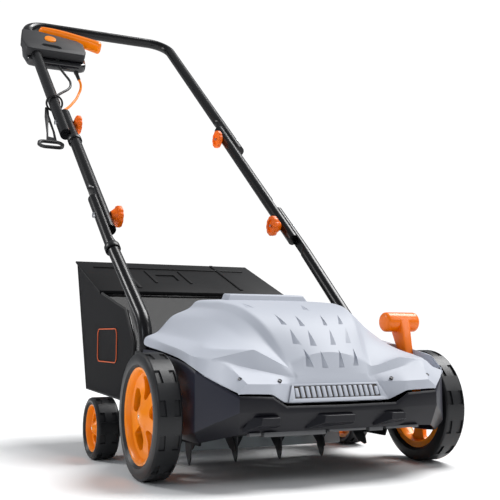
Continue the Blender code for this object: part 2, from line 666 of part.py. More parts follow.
def make_height_lever():
    """T-shaped lever clamped on the cranked axle."""
    hub = rod_x("height_lever", LEVER_X - .0060, LEVER_X + .0060, CRANK_Y, CRANK_Z, .0120, ORANGE)
    lean = math.degrees(math.atan2(LEVER_TOP_Z - CRANK_Z, LEVER_TOP_Y - CRANK_Y))
    across = math.radians(lean + 90)
    shift = Vector((math.cos(across), math.sin(across)))
    foot, top = Vector((CRANK_Y, CRANK_Z)), Vector((LEVER_TOP_Y, LEVER_TOP_Z))
    outline = [foot - .0075 * shift, top - .0095 * shift, top + .0095 * shift, foot + .0075 * shift]
    arm = prism_x("arm", [tuple(p) for p in outline], LEVER_X - .0060, LEVER_X + .0060, ORANGE)
    grip = turned("grip", [(-.0330, 0), (-.0330, .0130), (-.0290, .0168), (.0290, .0168),
                           (.0330, .0130), (.0330, 0)], (LEVER_X, LEVER_TOP_Y, LEVER_TOP_Z),
                  ORANGE, 24)
    combine(hub, [arm, grip], "UNION")
    bore = rod_x("bore", .18, .23, CRANK_Y, CRANK_Z, AXLE_R + GAP, ORANGE)
    combine(hub, [bore], "DIFFERENCE")
    return set_origin(hub, (0.0, CRANK_Y, CRANK_Z))


def make_detent_plate():
    """Toothed quadrant beside the lever that holds its four places."""
    arc = arc_points((CRANK_Y, CRANK_Z), .0480, 58, 112, 12)
    rim = []
    for i, (y, z) in enumerate(arc):
        grow = 1.0 if i % 2 else .93
        rim.append((CRANK_Y + (y - CRANK_Y) * grow, CRANK_Z + (z - CRANK_Z) * grow))
    base = arc_points((CRANK_Y, CRANK_Z), .0090, 200, 340, 8)
    plate = prism_x("detent_plate", rim + base, .1925, .1955, STEEL)
    hole = rod_x("hole", .18, .20, CRANK_Y, CRANK_Z, AXLE_R + 0.0006, STEEL)
    return combine(plate, [hole], "DIFFERENCE")


# ---------------------------------------------------------------- handle
def bend(centre, start, end, radius, first, second, steps=8):
    """Points on an arc from first towards second about centre."""
    points = []
    for i in range(steps + 1):
        angle = start + (end - start) * i / steps
        points.append(centre + radius * (math.cos(angle) * first + math.sin(angle) * second))
    return points


def pivot_hole(side, pivot):
    """Cutter for a bolt hole through a tube."""
    low, high = sorted((side * .15, side * .26))
    return rod_x("hole", low, high, pivot.y, pivot.z, BOLT_R + GAP, GLOSS_BLACK, 16)


def make_lower_tubes():
    """Foot tubes: upright in the bracket, then bent back into the handle's slope."""
    slope = HANDLE_ANGLE
    foot_z = .1070
    meet_z = UPPER_PIVOT.z - (UPPER_PIVOT.y - LOWER_TUBE_FOOT_Y) * math.tan(slope)
    radius = 0.065
    reach = radius * math.tan((math.pi / 2 - slope) / 2)
    top_s = LOWER_PIVOT_S + TAIL + .006
    for side, word in ((-1, "left"), (1, "right")):
        foot_x = side * LOWER_TUBE_FOOT_X
        centre = Vector((foot_x, LOWER_TUBE_FOOT_Y + radius, meet_z - reach))
        points = [Vector((foot_x, LOWER_TUBE_FOOT_Y, foot_z))]
        points += bend(centre, math.pi, math.pi / 2 + slope, radius, Vector((0, 1, 0)),
                       Vector((0, 0, 1)))
        points.append(handle_point(side * LOWER_TUBE_X, LOWER_PIVOT_S - FLAT, 0.0))
        points.append(handle_point(side * LOWER_TUBE_X, top_s, 0.0))
        piece = tube_mesh("lower_tube_" + word, points, LOWER_TUBE_R, GLOSS_BLACK)
        low, high = sorted((side * .180, side * (LOWER_FACE_X + GAP / 2)))
        flat = handle_box("flat", low, high, LOWER_PIVOT_S - FLAT, top_s + .02, -.03, .03,
                          GLOSS_BLACK)
        combine(piece, [flat, pivot_hole(side, LOWER_PIVOT)], "DIFFERENCE")


def make_middle_tubes():
    """Straight tubes, flattened at both ends."""
    for side, word in ((-1, "left"), (1, "right")):
        low_s, high_s = LOWER_PIVOT_S - .055, .055
        points = [handle_point(side * MIDDLE_TUBE_X, low_s, 0.0),
                  handle_point(side * MIDDLE_TUBE_X, high_s, 0.0)]
        piece = tube_mesh("middle_tube_" + word, points, MIDDLE_TUBE_R, GLOSS_BLACK)
        low, high = sorted((side * (UPPER_FACE_X - GAP / 2), side * .240))
        upper = handle_box("flat", low, high, -FLAT, high_s + .02, -.03, .03, GLOSS_BLACK)
        low, high = sorted((side * (LOWER_FACE_X - GAP / 2), side * .240))
        lower = handle_box("flat", low, high, low_s - .02, LOWER_PIVOT_S + FLAT, -.03, .03,
                           GLOSS_BLACK)
        combine(piece, [upper, lower, pivot_hole(side, UPPER_PIVOT),
                        pivot_hole(side, LOWER_PIVOT)], "DIFFERENCE")
        set_origin(piece, LOWER_PIVOT)


def make_upper_handle():
    """U-shaped top tube: two legs and the push bar."""
    across, along = Vector((1, 0, 0)), handle_point(0, 1, 0) - handle_point(0, 0, 0)
    inner_x, inner_s = UPPER_TUBE_X - BAR_BEND_R, BAR_S - BAR_BEND_R
    left = bend(handle_point(-inner_x, inner_s, 0), math.pi, math.pi / 2, BAR_BEND_R, across, along)
    right = bend(handle_point(inner_x, inner_s, 0), math.pi / 2, 0.0, BAR_BEND_R, across, along)
    points = [handle_point(-UPPER_TUBE_X, -TAIL, 0.0), *left, *right,
              handle_point(UPPER_TUBE_X, -TAIL, 0.0)]
    piece = tube_mesh("upper_handle", points, UPPER_TUBE_R, GLOSS_BLACK)
    for side in (-1, 1):
        low, high = sorted((side * .180, side * (UPPER_FACE_X + GAP / 2)))
        flat = handle_box("flat", low, high, -TAIL - .02, FLAT, -.03, .03, GLOSS_BLACK)
        combine(piece, [flat, pivot_hole(side, UPPER_PIVOT)], "DIFFERENCE")
    return set_origin(piece, UPPER_PIVOT)


def make_clamps():
    """Bolts through the joints, with fluted hand knobs on their inner ends."""
    joints = (("upper", UPPER_PIVOT, .1766, UPPER_TUBE_X + UPPER_TUBE_R),
              ("lower", LOWER_PIVOT, .1704, LOWER_TUBE_X + LOWER_TUBE_R))
    for level, pivot, face_x, outer_x in joints:
        for side, word in ((-1, "left"), (1, "right")):
            head = outer_x + GAP
            profile = [(side * (face_x - .0015), 0.0), (side * (face_x - .0015), BOLT_R),
                       (side * head, BOLT_R), (side * head, .0062),
                       (side * (head + .0030), .0055), (side * (head + .0030), 0.0)]
            bolt = turned("clamp_bolt_%s_%s" % (level, word), profile, pivot, STEEL, 16)
            set_origin(bolt, pivot)
            make_knob("knob_%s_%s" % (level, word), side, face_x, pivot)


def make_knob(name, side, face_x, pivot):
    """Fluted knob with a conical neck towards the tube."""
    rim = []
    for i in range(KNOB_LOBES * 4):
        wave = 0.5 + 0.5 * math.cos(i * math.tau / 4)
        radius = KNOB_R - .0020 + .0020 * wave
        angle = i * math.tau / (KNOB_LOBES * 4)
        rim.append((pivot.y + radius * math.cos(angle), pivot.z + radius * math.sin(angle)))
    neck_x = MIDDLE_TUBE_X - MIDDLE_TUBE_R - GAP
    low, high = sorted((side * face_x, side * (face_x + .0105)))
    knob = prism_x(name, rim, low, high, ORANGE)
    neck = turned("neck", [(side * (face_x + .0100), 0.0), (side * (face_x + .0100), .0190),
                           (side * neck_x, .0110), (side * neck_x, 0.0)], pivot, ORANGE, 24)
    combine(knob, [neck], "UNION")
    bore = rod_x("bore", *sorted((side * .15, side * .25)), pivot.y, pivot.z, BOLT_R + GAP,
                 ORANGE, 16)
    combine(knob, [bore], "DIFFERENCE")
    return set_origin(knob, pivot)


# ---------------------------------------------------------------- switch box
def box_outline(inset):
    """Outline of the switch box in handle (x, s) coordinates, inset inwards."""
    x0, x1, s0, s1 = BOX_X0 + inset, BOX_X1 - inset, BOX_S0 + inset, BOX_S1 - inset
    ear_x, ear_s = -.168 - inset, .612 - inset
    return [(x0 + .012, s0), (x1 - .010, s0), (x1, s0 + .010), (x1 - .004, s1 - .040),
            (x1 - .050, s1 - .012), (ear_x, s1 - .004), (ear_x, ear_s), (-.2035 + inset, ear_s),
            (-.2035 + inset, s1), (x0, s1 - .010), (x0, s0 + .030)]


def make_switch_box():
    """Two shells that clamp round the handle's left leg."""
    split = -.004
    parts = (("switch_box_top", split + GAP / 2, BOX_W1, BLACK_PLASTIC),
             ("switch_box_bottom", BOX_W0, split - GAP / 2, GLOSS_BLACK))
    for name, w0, w1, look in parts:
        shell = handle_prism(name, box_outline(0.0), w0, w1, look)
        top = w1 > 0
        hollow_w0, hollow_w1 = (w0 - .01, w1 - BOX_WALL) if top else (w0 + BOX_WALL, w1 + .01)
        hollow = handle_prism("hollow", box_outline(BOX_WALL), hollow_w0, hollow_w1, look)
        leg = rod_between("leg", handle_point(-UPPER_TUBE_X, .35, 0), handle_point(-UPPER_TUBE_X, .64, 0),
                          UPPER_TUBE_R + GAP, UPPER_TUBE_R + GAP, look, 20)
        fork = handle_box("fork", BAIL_X - .0165, BAIL_X + .03, BAIL_S - .0240, BAIL_S + .03,
                          -.0125, .0125, look)
        combine(shell, [hollow, leg, fork], "DIFFERENCE")
        if top:
            hole = ellipse_prism("hole", .0163, .0203, w1 - .01, w1 + .01, look)
            combine(shell, [hole], "DIFFERENCE")


def ellipse_prism(name, radius_x, radius_s, w0, w1, look):
    """Oval block on the switch box's button centre."""
    outline = []
    for i in range(24):
        angle = math.tau * i / 24
        outline.append((BUTTON_X + radius_x * math.cos(angle), BUTTON_S + radius_s * math.sin(angle)))
    return handle_prism(name, outline, w0, w1, look)


def make_switches():
    """Bail paddle and the safety button."""
    button = ellipse_prism("safety_button", .0160, .0200, BOX_W1 - .0090, BOX_W1 + .0030, ORANGE)
    set_origin(button, handle_point(BUTTON_X, BUTTON_S, BOX_W1))
    hub = []
    for i in range(20):
        angle = math.tau * i / 20
        hub.append((BAIL_X + .0120 * math.cos(angle), BAIL_S + .0120 * math.sin(angle)))
    bail = handle_prism("bail_lever", hub, -.0080, .0080, ORANGE)
    heading, across = Vector((math.cos(BAIL_TILT), math.sin(BAIL_TILT))), None
    across = Vector((-heading.y, heading.x))
    pivot = Vector((BAIL_X, BAIL_S))
    neck = [pivot + .002 * heading - .008 * across, pivot + .034 * heading - .009 * across,
            pivot + .034 * heading + .009 * across, pivot + .002 * heading + .008 * across]
    arm = handle_prism("arm", [tuple(p) for p in neck], -.0080, .0080, ORANGE)
    blade = [(.030, -.009), (.060, -.010), (.110, -.007), (.150, -.009), (.176, -.015),
             (.180, .002), (.150, .010), (.110, .014), (.060, .011), (.030, .009)]
    outline = [tuple(pivot + a * heading + b * across) for a, b in blade]
    paddle = handle_prism("paddle", outline, -.0150, .0110, ORANGE)
    combine(bail, [arm, paddle], "UNION")
    return set_origin(bail, handle_point(BAIL_X, BAIL_S, 0.0))


# ---------------------------------------------------------------- cords
RELIEF_START = (-.1162, .4190, -.0150)
RELIEF_END = (-.1010, .3890, -.0420)
CORD_ROUTE = [    # handle coordinates, from the strain relief to the plug
    (-.1010, .3890, -.0420), (-.0968, .3806, -.0495), (-.0980, .3660, -.0600),
    (-.1080, .3420, -.0690), (-.1170, .3200, -.0710), (-.1300, .2920, -.0700),
    (-.1450, .2580, -.0660), (-.1610, .2240, -.0600), (-.1760, .1920, -.0520),
    (-.1890, .1630, -.0430), (-.1990, .1430, -.0340), (-.2030, .1260, -.0300),
    (-.2030, .1103, -.0300)]
PLUG_X, PLUG_W = -.2030, -.0300
PLUG_S0, PLUG_S1 = .0500, .1100
GLAND_START = (-.1623, .4210, -.0095)
GLAND_END = (-.1590, .4080, -.0150)
CABLE_UPPER = [
    (-.1590, .4080, -.0150), (-.1568, .3990, -.0188), (-.1430, .3820, -.0300),
    (-.1310, .3660, -.0400), (-.1320, .3470, -.0470), (-.1430, .3250, -.0480),
    (-.1580, .3000, -.0450), (-.1750, .2680, -.0390), (-.1920, .2300, -.0310),
    (-.2060, .1900, -.0230), (-.2125, .1600, -.0190), (-.2140, .1250, -.0190)]
CABLE_CLEAR = .070                    # of the cable's straight ends from each pivot


def make_cord_and_plug():
    """Orange lead: strain relief, cord and its inlet plug behind the handle's left leg."""
    start, end = handle_point(*RELIEF_START), handle_point(*RELIEF_END)
    relief_end = end + (start - end).normalized() * 2 * GAP
    rod_between("cord_relief", start, relief_end, .0075, .0048, BLACK_PLASTIC)
    route = [handle_point(*place) for place in CORD_ROUTE]
    route[-1] = handle_point(PLUG_X, PLUG_S1 + GAP, PLUG_W)
    tube("power_cord", smooth_route(route, 2.5 * CORD_D), CORD_D / 2, CORD_ORANGE, 2)
    plug_low, plug_mid = handle_point(PLUG_X, PLUG_S0, PLUG_W), handle_point(PLUG_X, PLUG_S1 - .018, PLUG_W)
    plug = rod_between("inlet_plug", plug_low, plug_mid, .0110, .0110, BLACK_PLASTIC, 20)
    neck = rod_between("neck", plug_mid - .002 * (plug_mid - plug_low).normalized(),
                       handle_point(PLUG_X, PLUG_S1, PLUG_W), .0095, .0052, BLACK_PLASTIC, 20)
    return combine(plug, [neck], "UNION")


def make_motor_cable():
    """Black motor cable along the handle, in the stretches between the folding joints."""
    start, end = handle_point(*GLAND_START), handle_point(*GLAND_END)
    gland_end = end + (start - end).normalized() * 4 * GAP
    rod_between("cable_gland", start, gland_end, .0065, .0045, BLACK_PLASTIC)
    route = [handle_point(*place) for place in CABLE_UPPER]
    tube("motor_cable_upper", smooth_route(route, 2.5 * CORD_D), CORD_D / 2, BLACK_PLASTIC, 2)
    middle_w = -.0168
    middle_x = -MIDDLE_TUBE_X - .0020
    run = [handle_point(middle_x, -CABLE_CLEAR, middle_w),
           handle_point(middle_x, LOWER_PIVOT_S + CABLE_CLEAR, middle_w)]
    tube("motor_cable_middle", smooth_route(run, .05), CORD_D / 2, BLACK_PLASTIC, 2)
    low = [handle_point(-LOWER_TUBE_X, LOWER_PIVOT_S - CABLE_CLEAR, -.0170),
           handle_point(-.2120, -.5600, -.0172), handle_point(-.2090, -.6300, -.0176),
           Vector((-.2040, .2060, .2300)), Vector((-.2000, .1800, .1950)),
           Vector((-.1900, .1700, .1935))]
    tube("motor_cable_lower", smooth_route(low, .02), CORD_D / 2, BLACK_PLASTIC, 2)


def make_cable_retainer():
    """Cord lock: a ring round the handle's leg and a hanging frame with a slot."""
    w0, w1 = -.0155, -.0115
    frame = handle_prism("cable_retainer", [(-.2330, .0855), (-.2400, .0855), (-.2520, .0300),
                                            (-.2640, -.0650), (-.2640, -.1020), (-.2480, -.1020),
                                            (-.2430, -.0600), (-.2400, .0600), (-.2330, .0800)],
                         w0, w1, BLACK_PLASTIC)
    window = handle_prism("window", [(-.2455, .0050), (-.2505, .0000), (-.2580, -.0600),
                                     (-.2475, -.0640), (-.2455, -.0250)], w0 - .01, w1 + .01,
                          BLACK_PLASTIC)
    loop_outer = stadium(-.2880, -.2310, -.1150, .0160)
    loop_inner = stadium(-.2830, -.2360, -.1150, .0110)
    loop = handle_prism("loop", loop_outer, w0 - .0004, w1 + .0004, BLACK_PLASTIC)
    combine(frame, [loop], "UNION")
    hole = handle_prism("hole", loop_inner, w0 - .01, w1 + .01, BLACK_PLASTIC)
    combine(frame, [window, hole], "DIFFERENCE")
    ring_middle = handle_point(-UPPER_TUBE_X, .0831, 0.0)
    ring = torus("ring", ring_middle, .0195, .0028)
    return combine(frame, [ring], "UNION")


def stadium(x0, x1, s, radius):
    """Slot outline with round ends."""
    left = [(x0 + radius + radius * math.cos(a), s + radius * math.sin(a))
            for a in (math.pi / 2 + math.pi * i / 8 for i in range(9))]
    right = [(x1 - radius + radius * math.cos(a), s + radius * math.sin(a))
             for a in (-math.pi / 2 + math.pi * i / 8 for i in range(9))]
    return left + right


def torus(name, centre, major, minor):
    """Ring round the handle's leg, tipped back towards the hanging frame."""
    along = handle_point(0, 1, 0) - handle_point(0, 0, 0)
    turn = Vector((0, 0, 1)).rotation_difference(along).to_matrix().to_4x4()
    bm = bmesh.new()
    rings = []
    for i in range(24):
        a = math.tau * i / 24
        row = []
        for k in range(8):
            b = math.tau * k / 8
            out = major + minor * math.cos(b)
            row.append(bm.verts.new((out * math.cos(a), out * math.sin(a), minor * math.sin(b))))
        rings.append(row)
    for i in range(24):
        for k in range(8):
            a, b = rings[i], rings[(i + 1) % 24]
            bm.faces.new((a[k], b[k], b[(k + 1) % 8], a[(k + 1) % 8]))
    bmesh.ops.transform(bm, matrix=Matrix.Translation(centre) @ turn, verts=bm.verts)
    return smooth(new_object(name, bm, BLACK_PLASTIC))


# ---------------------------------------------------------------- grass box
BAG_SIDE = [(.594, .104), (.650, .384), (.450, .302), (.279, .264), (.2300, .205),
            (.2300, .120), (.300, .098)]


def make_grass_box():
    """Mesh bag on a wire frame, under a moulded lid."""
    bag = prism_x("grass_bag", BAG_SIDE, -BAG_HALF_X, BAG_HALF_X, MESH_FABRIC)
    inner = [(.5920, .1065), (.6490, .3900), (.650, .420), (.400, .400), (.200, .300),
             (.1800, .1225), (.2312, .1225), (.3006, .1005)]
    hollow = prism_x("hollow", inner, -BAG_HALF_X + BAG_WALL, BAG_HALF_X - BAG_WALL, MESH_FABRIC)
    combine(bag, [hollow], "DIFFERENCE")
    lid = [(.4450, .3022), (.6560, .3887), (.6545, .3927), (.4430, .3062)]
    lid_side = prism_x("grass_box_lid", lid, -.209, .209, BLACK_PLASTIC)
    grip = box("grip", (-.052, .520, .300), (-.008, .560, .400), BLACK_PLASTIC)
    combine(lid_side, [grip], "DIFFERENCE")
    reach = BAG_HALF_X - BAG_WALL - .0038
    hoop = [(.4430, .2960), (.2790, .2590), (.2345, .2030), (.2345, .1270)]
    left = [Vector((-reach, y, z)) for y, z in hoop]
    right = [Vector((reach, y, z)) for y, z in reversed(hoop)]
    tube("grass_box_frame", left + right, .0030, BLACK_PLASTIC, 2, closed=True)


# ---------------------------------------------------------------- assembly
def hang_from_origin():
    """Hang every loose piece from one empty that sets the machine's place."""
    root = bpy.data.objects.new("machine_origin", None)
    bpy.context.collection.objects.link(root)
    for piece in bpy.data.objects:
        if piece is not root and piece.parent is None:
            piece.parent = root
    root.location = ORIGIN_SHIFT


start_empty()
make_hood()
make_vent_grille()
make_bumper()
make_reel_housing()
make_rear_cover()
make_rear_deflector()
make_rear_flap()
make_brackets()
make_motor()
make_motor_pulley()
make_reel_pulley()
make_belt()
make_reel()
make_wheels()
make_axles()
make_height_lever()
make_detent_plate()
make_lower_tubes()
make_middle_tubes()
make_upper_handle()
make_clamps()
make_switch_box()
make_switches()
make_cord_and_plug()
make_motor_cable()
make_cable_retainer()
make_grass_box()
hang_from_origin()
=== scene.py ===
"""Looks for the lawn dethatcher: every visible piece, in the order the machine goes together."""
import math

import bpy
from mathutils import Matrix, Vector


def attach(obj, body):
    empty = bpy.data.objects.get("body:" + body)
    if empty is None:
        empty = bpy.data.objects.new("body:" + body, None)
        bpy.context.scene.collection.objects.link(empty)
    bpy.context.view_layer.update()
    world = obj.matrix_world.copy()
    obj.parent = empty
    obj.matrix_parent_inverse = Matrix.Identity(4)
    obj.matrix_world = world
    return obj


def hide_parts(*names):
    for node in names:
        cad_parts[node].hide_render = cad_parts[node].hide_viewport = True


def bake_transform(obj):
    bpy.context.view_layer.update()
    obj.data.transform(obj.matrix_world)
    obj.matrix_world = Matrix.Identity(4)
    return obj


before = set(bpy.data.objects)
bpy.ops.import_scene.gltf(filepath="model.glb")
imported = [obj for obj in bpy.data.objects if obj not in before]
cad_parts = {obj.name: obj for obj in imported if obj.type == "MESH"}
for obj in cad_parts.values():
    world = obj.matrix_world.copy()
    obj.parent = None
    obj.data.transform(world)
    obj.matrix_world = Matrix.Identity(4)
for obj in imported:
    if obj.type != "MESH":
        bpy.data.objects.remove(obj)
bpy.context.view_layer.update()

# ------------------------------------------------------------------ camera and studio
# A plain white sweep with one large soft source above and to the right, one weak
# fill from the front left, and a long lens set low, level with the wheel tops.
SHIFT = Vector((0.0067, -0.5642, 0.0))     # from the machine's own axes to the model's
bpy.ops.object.select_all(action="DESELECT")
bpy.ops.object.camera_add(location=Vector((-0.67412, -1.25101, 0.21630)) + SHIFT,
                          rotation=(math.radians(95.648), 0.0, math.radians(-25.308)))
camera = bpy.context.object
camera.data.lens = 61.83
camera.data.sensor_width = 36.0
bpy.context.scene.camera = camera

world = bpy.data.worlds.new("studio")
bpy.context.scene.world = world
world.use_nodes = True
tree = world.node_tree
room_light = tree.nodes["Background"]
room_light.inputs["Color"].default_value = (0.93, 0.96, 1.0, 1.0)
room_light.inputs["Strength"].default_value = 0.27
white_sweep = tree.nodes.new("ShaderNodeBackground")
white_sweep.inputs["Color"].default_value = (1.0, 1.0, 1.0, 1.0)
white_sweep.inputs["Strength"].default_value = 1.05
seen = tree.nodes.new("ShaderNodeLightPath")
either = tree.nodes.new("ShaderNodeMixShader")
tree.links.new(seen.outputs["Is Camera Ray"], either.inputs[0])
tree.links.new(room_light.outputs[0], either.inputs[1])
tree.links.new(white_sweep.outputs[0], either.inputs[2])
tree.links.new(either.outputs[0], tree.nodes["World Output"].inputs["Surface"])
bpy.context.scene.view_settings.view_transform = "Standard"


def area_light(name, place, target, size, power, colour=(1.0, 1.0, 1.0)):
    """Soft box at place, turned to face target."""
    bpy.ops.object.light_add(type="AREA", location=Vector(place) + SHIFT)
    lamp = bpy.context.object
    lamp.name = name
    lamp.data.size = size
    lamp.data.energy = power
    lamp.data.color = colour
    aim = Vector(target) - Vector(place)
    lamp.rotation_euler = aim.to_track_quat("-Z", "Y").to_euler()
    return lamp


bpy.ops.object.light_add(type="SUN", rotation=(math.radians(-6), math.radians(33), 0.0))
overhead = bpy.context.object
overhead.data.energy = 3.4
overhead.data.angle = math.radians(34)
area_light("key_softbox", (1.5, -1.3, 1.5), (0.1, 0.0, 0.2), 0.8, 9.0)
area_light("rear_strip", (-1.6, 1.2, 1.5), (0.0, 0.4, 0.6), 0.5, 14.0)
area_light("side_strip", (-1.9, -0.5, 0.9), (-0.2, 0.0, 0.3), 0.5, 4.0, (0.86, 0.92, 1.0))

bpy.ops.mesh.primitive_plane_add(size=30.0, location=(0.0, 0.0, -0.0006))
floor = bpy.context.object
floor.name = "studio_floor"


class Socket:
    """One shader socket; sums and products of sockets add the Math nodes they need."""

    def __init__(self, tree, out):
        self.tree, self.out = tree, out

    def math(self, operation, *others):
        return Shader.add(self.tree, "ShaderNodeMath", {"operation": operation}, [self, *others])[0]

    def __add__(self, other):
        return self.math("ADD", other)

    def __radd__(self, other):
        return self.math("ADD", other)

    def __sub__(self, other):
        return self.math("SUBTRACT", other)

    def __rsub__(self, other):
        return Shader.add(self.tree, "ShaderNodeMath", {"operation": "SUBTRACT"}, [other, self])[0]

    def __mul__(self, other):
        return self.math("MULTIPLY", other)

    def __rmul__(self, other):
        return self.math("MULTIPLY", other)

    def __truediv__(self, other):
        return self.math("DIVIDE", other)

    def sine(self):
        return self.math("SINE")


class Shader:
    """A material with one Principled shader, and a short way to add any other node."""

    def __init__(self, name, colour, roughness, metallic=0.0, coat=0.0, shine=0.5):
        self.material = bpy.data.materials.new(name)
        self.material.use_nodes = True
        self.tree = self.material.node_tree
        self.principled = self.tree.nodes["Principled BSDF"]
        self.set(**{"Base Color": (*colour, 1.0), "Roughness": roughness,
                    "Metallic": metallic, "Coat Weight": coat, "Specular IOR Level": shine})

    @staticmethod
    def add(tree, kind, settings=None, values=()):
        node = tree.nodes.new(kind)
        for key, value in (settings or {}).items():
            setattr(node, key, value)
        pairs = values.items() if isinstance(values, dict) else enumerate(values)
        for key, value in pairs:
            if isinstance(value, Socket):
                tree.links.new(value.out, node.inputs[key])
            else:
                node.inputs[key].default_value = value
        return [Socket(tree, out) for out in node.outputs]

    def node(self, kind, settings=None, **values):
        named = {key.replace("_", " "): value for key, value in values.items()}
        return self.add(self.tree, kind, settings, named)

    def set(self, **values):
        for key, value in values.items():
            if isinstance(value, Socket):
                self.tree.links.new(value.out, self.principled.inputs[key])
            else:
                self.principled.inputs[key].default_value = value

    def place(self):
        """The piece's own coordinates, which are the model's metres."""
        return self.add(self.tree, "ShaderNodeTexCoord")[3]

    def axes(self):
        return self.add(self.tree, "ShaderNodeSeparateXYZ", None, [self.place()])

    def noise(self, scale, detail=2.0):
        return self.node("ShaderNodeTexNoise", None, Vector=self.place(), Scale=scale,
                         Detail=detail)[0]

    def bump(self, height, strength, distance):
        self.set(Normal=self.node("ShaderNodeBump", None, Height=height, Strength=strength,
                                  Distance=distance)[0])

    def grain(self, scale, strength, depth, detail=2.0):
        """Fine moulded or cast grain."""
        self.bump(self.noise(scale, detail), strength, depth)

    def blend(self, factor, first, second):
        mixed = self.add(self.tree, "ShaderNodeMix", {"data_type": "RGBA"},
                         {0: factor, 6: (*first, 1.0), 7: (*second, 1.0)})
        return mixed[2]


floor_finish = Shader("studio_white", (0.98, 0.98, 0.98), 0.9)
floor.data.materials.append(floor_finish.material)

# ------------------------------------------------------------------ mains lead and motor cable
# Seven-millimetre sheathed cable. The orange lead drops from a tapered strain relief and
# ends in an inlet plug behind the left tube; the black motor cable follows the tubes down.
SLOPE = math.radians(38.8)
PIVOT = Vector((0.0, 0.757, 0.7191))
ALONG = Vector((0.0, math.cos(SLOPE), math.sin(SLOPE)))
ABOVE = Vector((0.0, -math.sin(SLOPE), math.cos(SLOPE)))
LOWER_S = -0.42


def grip(x, s, w):
    """Point x across, s up the handle from its upper joint, w above its plane."""
    return Vector((x, PIVOT.y, PIVOT.z)) + s * ALONG + w * ABOVE


def eased(route, spacing):
    """Evenly spaced points on a smooth curve through the route's points."""
    ends = [2 * route[0] - route[1], *route, 2 * route[-1] - route[-2]]
    dense = []
    for i in range(len(route) - 1):
        a, b, c, d = ends[i:i + 4]
        for k in range(24):
            t = k / 24
            dense.append(0.5 * (2 * b + (c - a) * t + (2 * a - 5 * b + 4 * c - d) * t * t
                                + (3 * b - a - 3 * c + d) * t ** 3))
    dense.append(route[-1])
    length = sum((q - p).length for p, q in zip(dense, dense[1:]))
    count = max(2, round(length / spacing))
    points, walked, target = [dense[0]], 0.0, length / count
    for p, q in zip(dense, dense[1:]):
        step = (q - p).length
        while walked + step >= target * len(points) and len(points) < count:
            points.append(p.lerp(q, (target * len(points) - walked) / step))
        walked += step
    return points + [dense[-1]]


def wire(name, points, radius, material, resolution=5, closed=False):
    """Round cable or wire along points, as a curve."""
    curve = bpy.data.curves.new(name, "CURVE")
    curve.dimensions = "3D"
    curve.bevel_depth = radius
    curve.bevel_resolution = resolution
    curve.use_fill_caps = not closed
    line = curve.splines.new("POLY")
    line.points.add(len(points) - 1)
    for point, place in zip(line.points, points):
        point.co = (*(place + SHIFT), 1.0)
    line.use_cyclic_u = closed
    piece = bpy.data.objects.new(name, curve)
    bpy.context.collection.objects.link(piece)
    curve.materials.append(material)
    for spline in curve.splines:
        spline.use_smooth = True
    return piece


def route_length(points):
    return sum((q - p).length for p, q in zip(points, points[1:]))


def fixed(piece, body, slot, *nodes):
    """The piece rides on its body, in place of its CAD nodes. The slot argument is not used."""
    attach(piece, body)
    if nodes:
        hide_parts(*nodes)
    return piece


CORD_D = 0.007
orange_sheath = Shader("orange_sheath", (1.0, 0.25, 0.0), 0.42, shine=0.35)
orange_sheath.grain(900.0, 0.12, 0.0004)
black_sheath = Shader("black_sheath", (0.012, 0.012, 0.013), 0.40)
black_sheath.grain(900.0, 0.12, 0.0004)

lead_route = [grip(*place) for place in (
    (-.1010, .3890, -.0420), (-.0968, .3806, -.0495), (-.0980, .3660, -.0600),
    (-.1080, .3420, -.0690), (-.1170, .3200, -.0710), (-.1300, .2920, -.0700),
    (-.1450, .2580, -.0660), (-.1610, .2240, -.0600), (-.1760, .1920, -.0520),
    (-.1890, .1630, -.0430), (-.1990, .1430, -.0340), (-.2030, .1260, -.0300),
    (-.2030, .1103, -.0300))]
lead_points = eased(lead_route, 0.006)
lead = wire("orange_lead", lead_points, CORD_D / 2, orange_sheath.material)
fixed(lead, "upper_handle", "cord_orange", "power_cord")
cable_route = [grip(*place) for place in (
    (-.1590, .4080, -.0150), (-.1568, .3990, -.0188), (-.1430, .3820, -.0300),
    (-.1310, .3660, -.0400), (-.1320, .3470, -.0470), (-.1430, .3250, -.0480),
    (-.1580, .3000, -.0450), (-.1750, .2680, -.0390), (-.1920, .2300, -.0310),
    (-.2060, .1900, -.0230), (-.2125, .1600, -.0190), (-.2140, .1250, -.0190))]
fixed(wire("motor_cable_top_run", eased(cable_route, 0.006), CORD_D / 2, black_sheath.material),
      "upper_handle", "black_plastic", "motor_cable_upper")
fixed(wire("motor_cable_middle_run", [grip(-.2076, s, -.0168) for s in (-.070, -.21, -.350)],
           CORD_D / 2, black_sheath.material),
      "middle_handle", "black_plastic", "motor_cable_middle")
low_route = [grip(-.2140, -.4900, -.0170), grip(-.2120, -.5600, -.0172),
             grip(-.2090, -.6300, -.0176), Vector((-.2040, .2060, .2300)),
             Vector((-.2000, .1800, .1950)), Vector((-.1900, .1700, .1935))]
fixed(wire("motor_cable_low_run", eased(low_route, 0.008), CORD_D / 2, black_sheath.material),
      "chassis", "black_plastic", "motor_cable_lower")


def chosen(*pieces):
    """Only these pieces are selected, and the first of them is active."""
    bpy.ops.object.select_all(action="DESELECT")
    for piece in pieces:
        piece.select_set(True)
    bpy.context.view_layer.objects.active = pieces[0]
    return pieces[0]


def as_mesh(piece):
    """Turn a cable or wire into a mesh."""
    chosen(piece)
    bpy.ops.object.convert(target="MESH")
    return bpy.context.object


def bridging_cable(name, start, end, clear):
    """Short stretch of the motor cable across a folding joint."""
    middle = (start + end) / 2 + clear
    run = wire(name, eased([start, start.lerp(middle, 0.5), middle, end.lerp(middle, 0.5), end],
                           0.006), CORD_D / 2, black_sheath.material, 3)
    run = as_mesh(run)
    start + SHIFT
    end + SHIFT
    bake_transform(run)
    return run


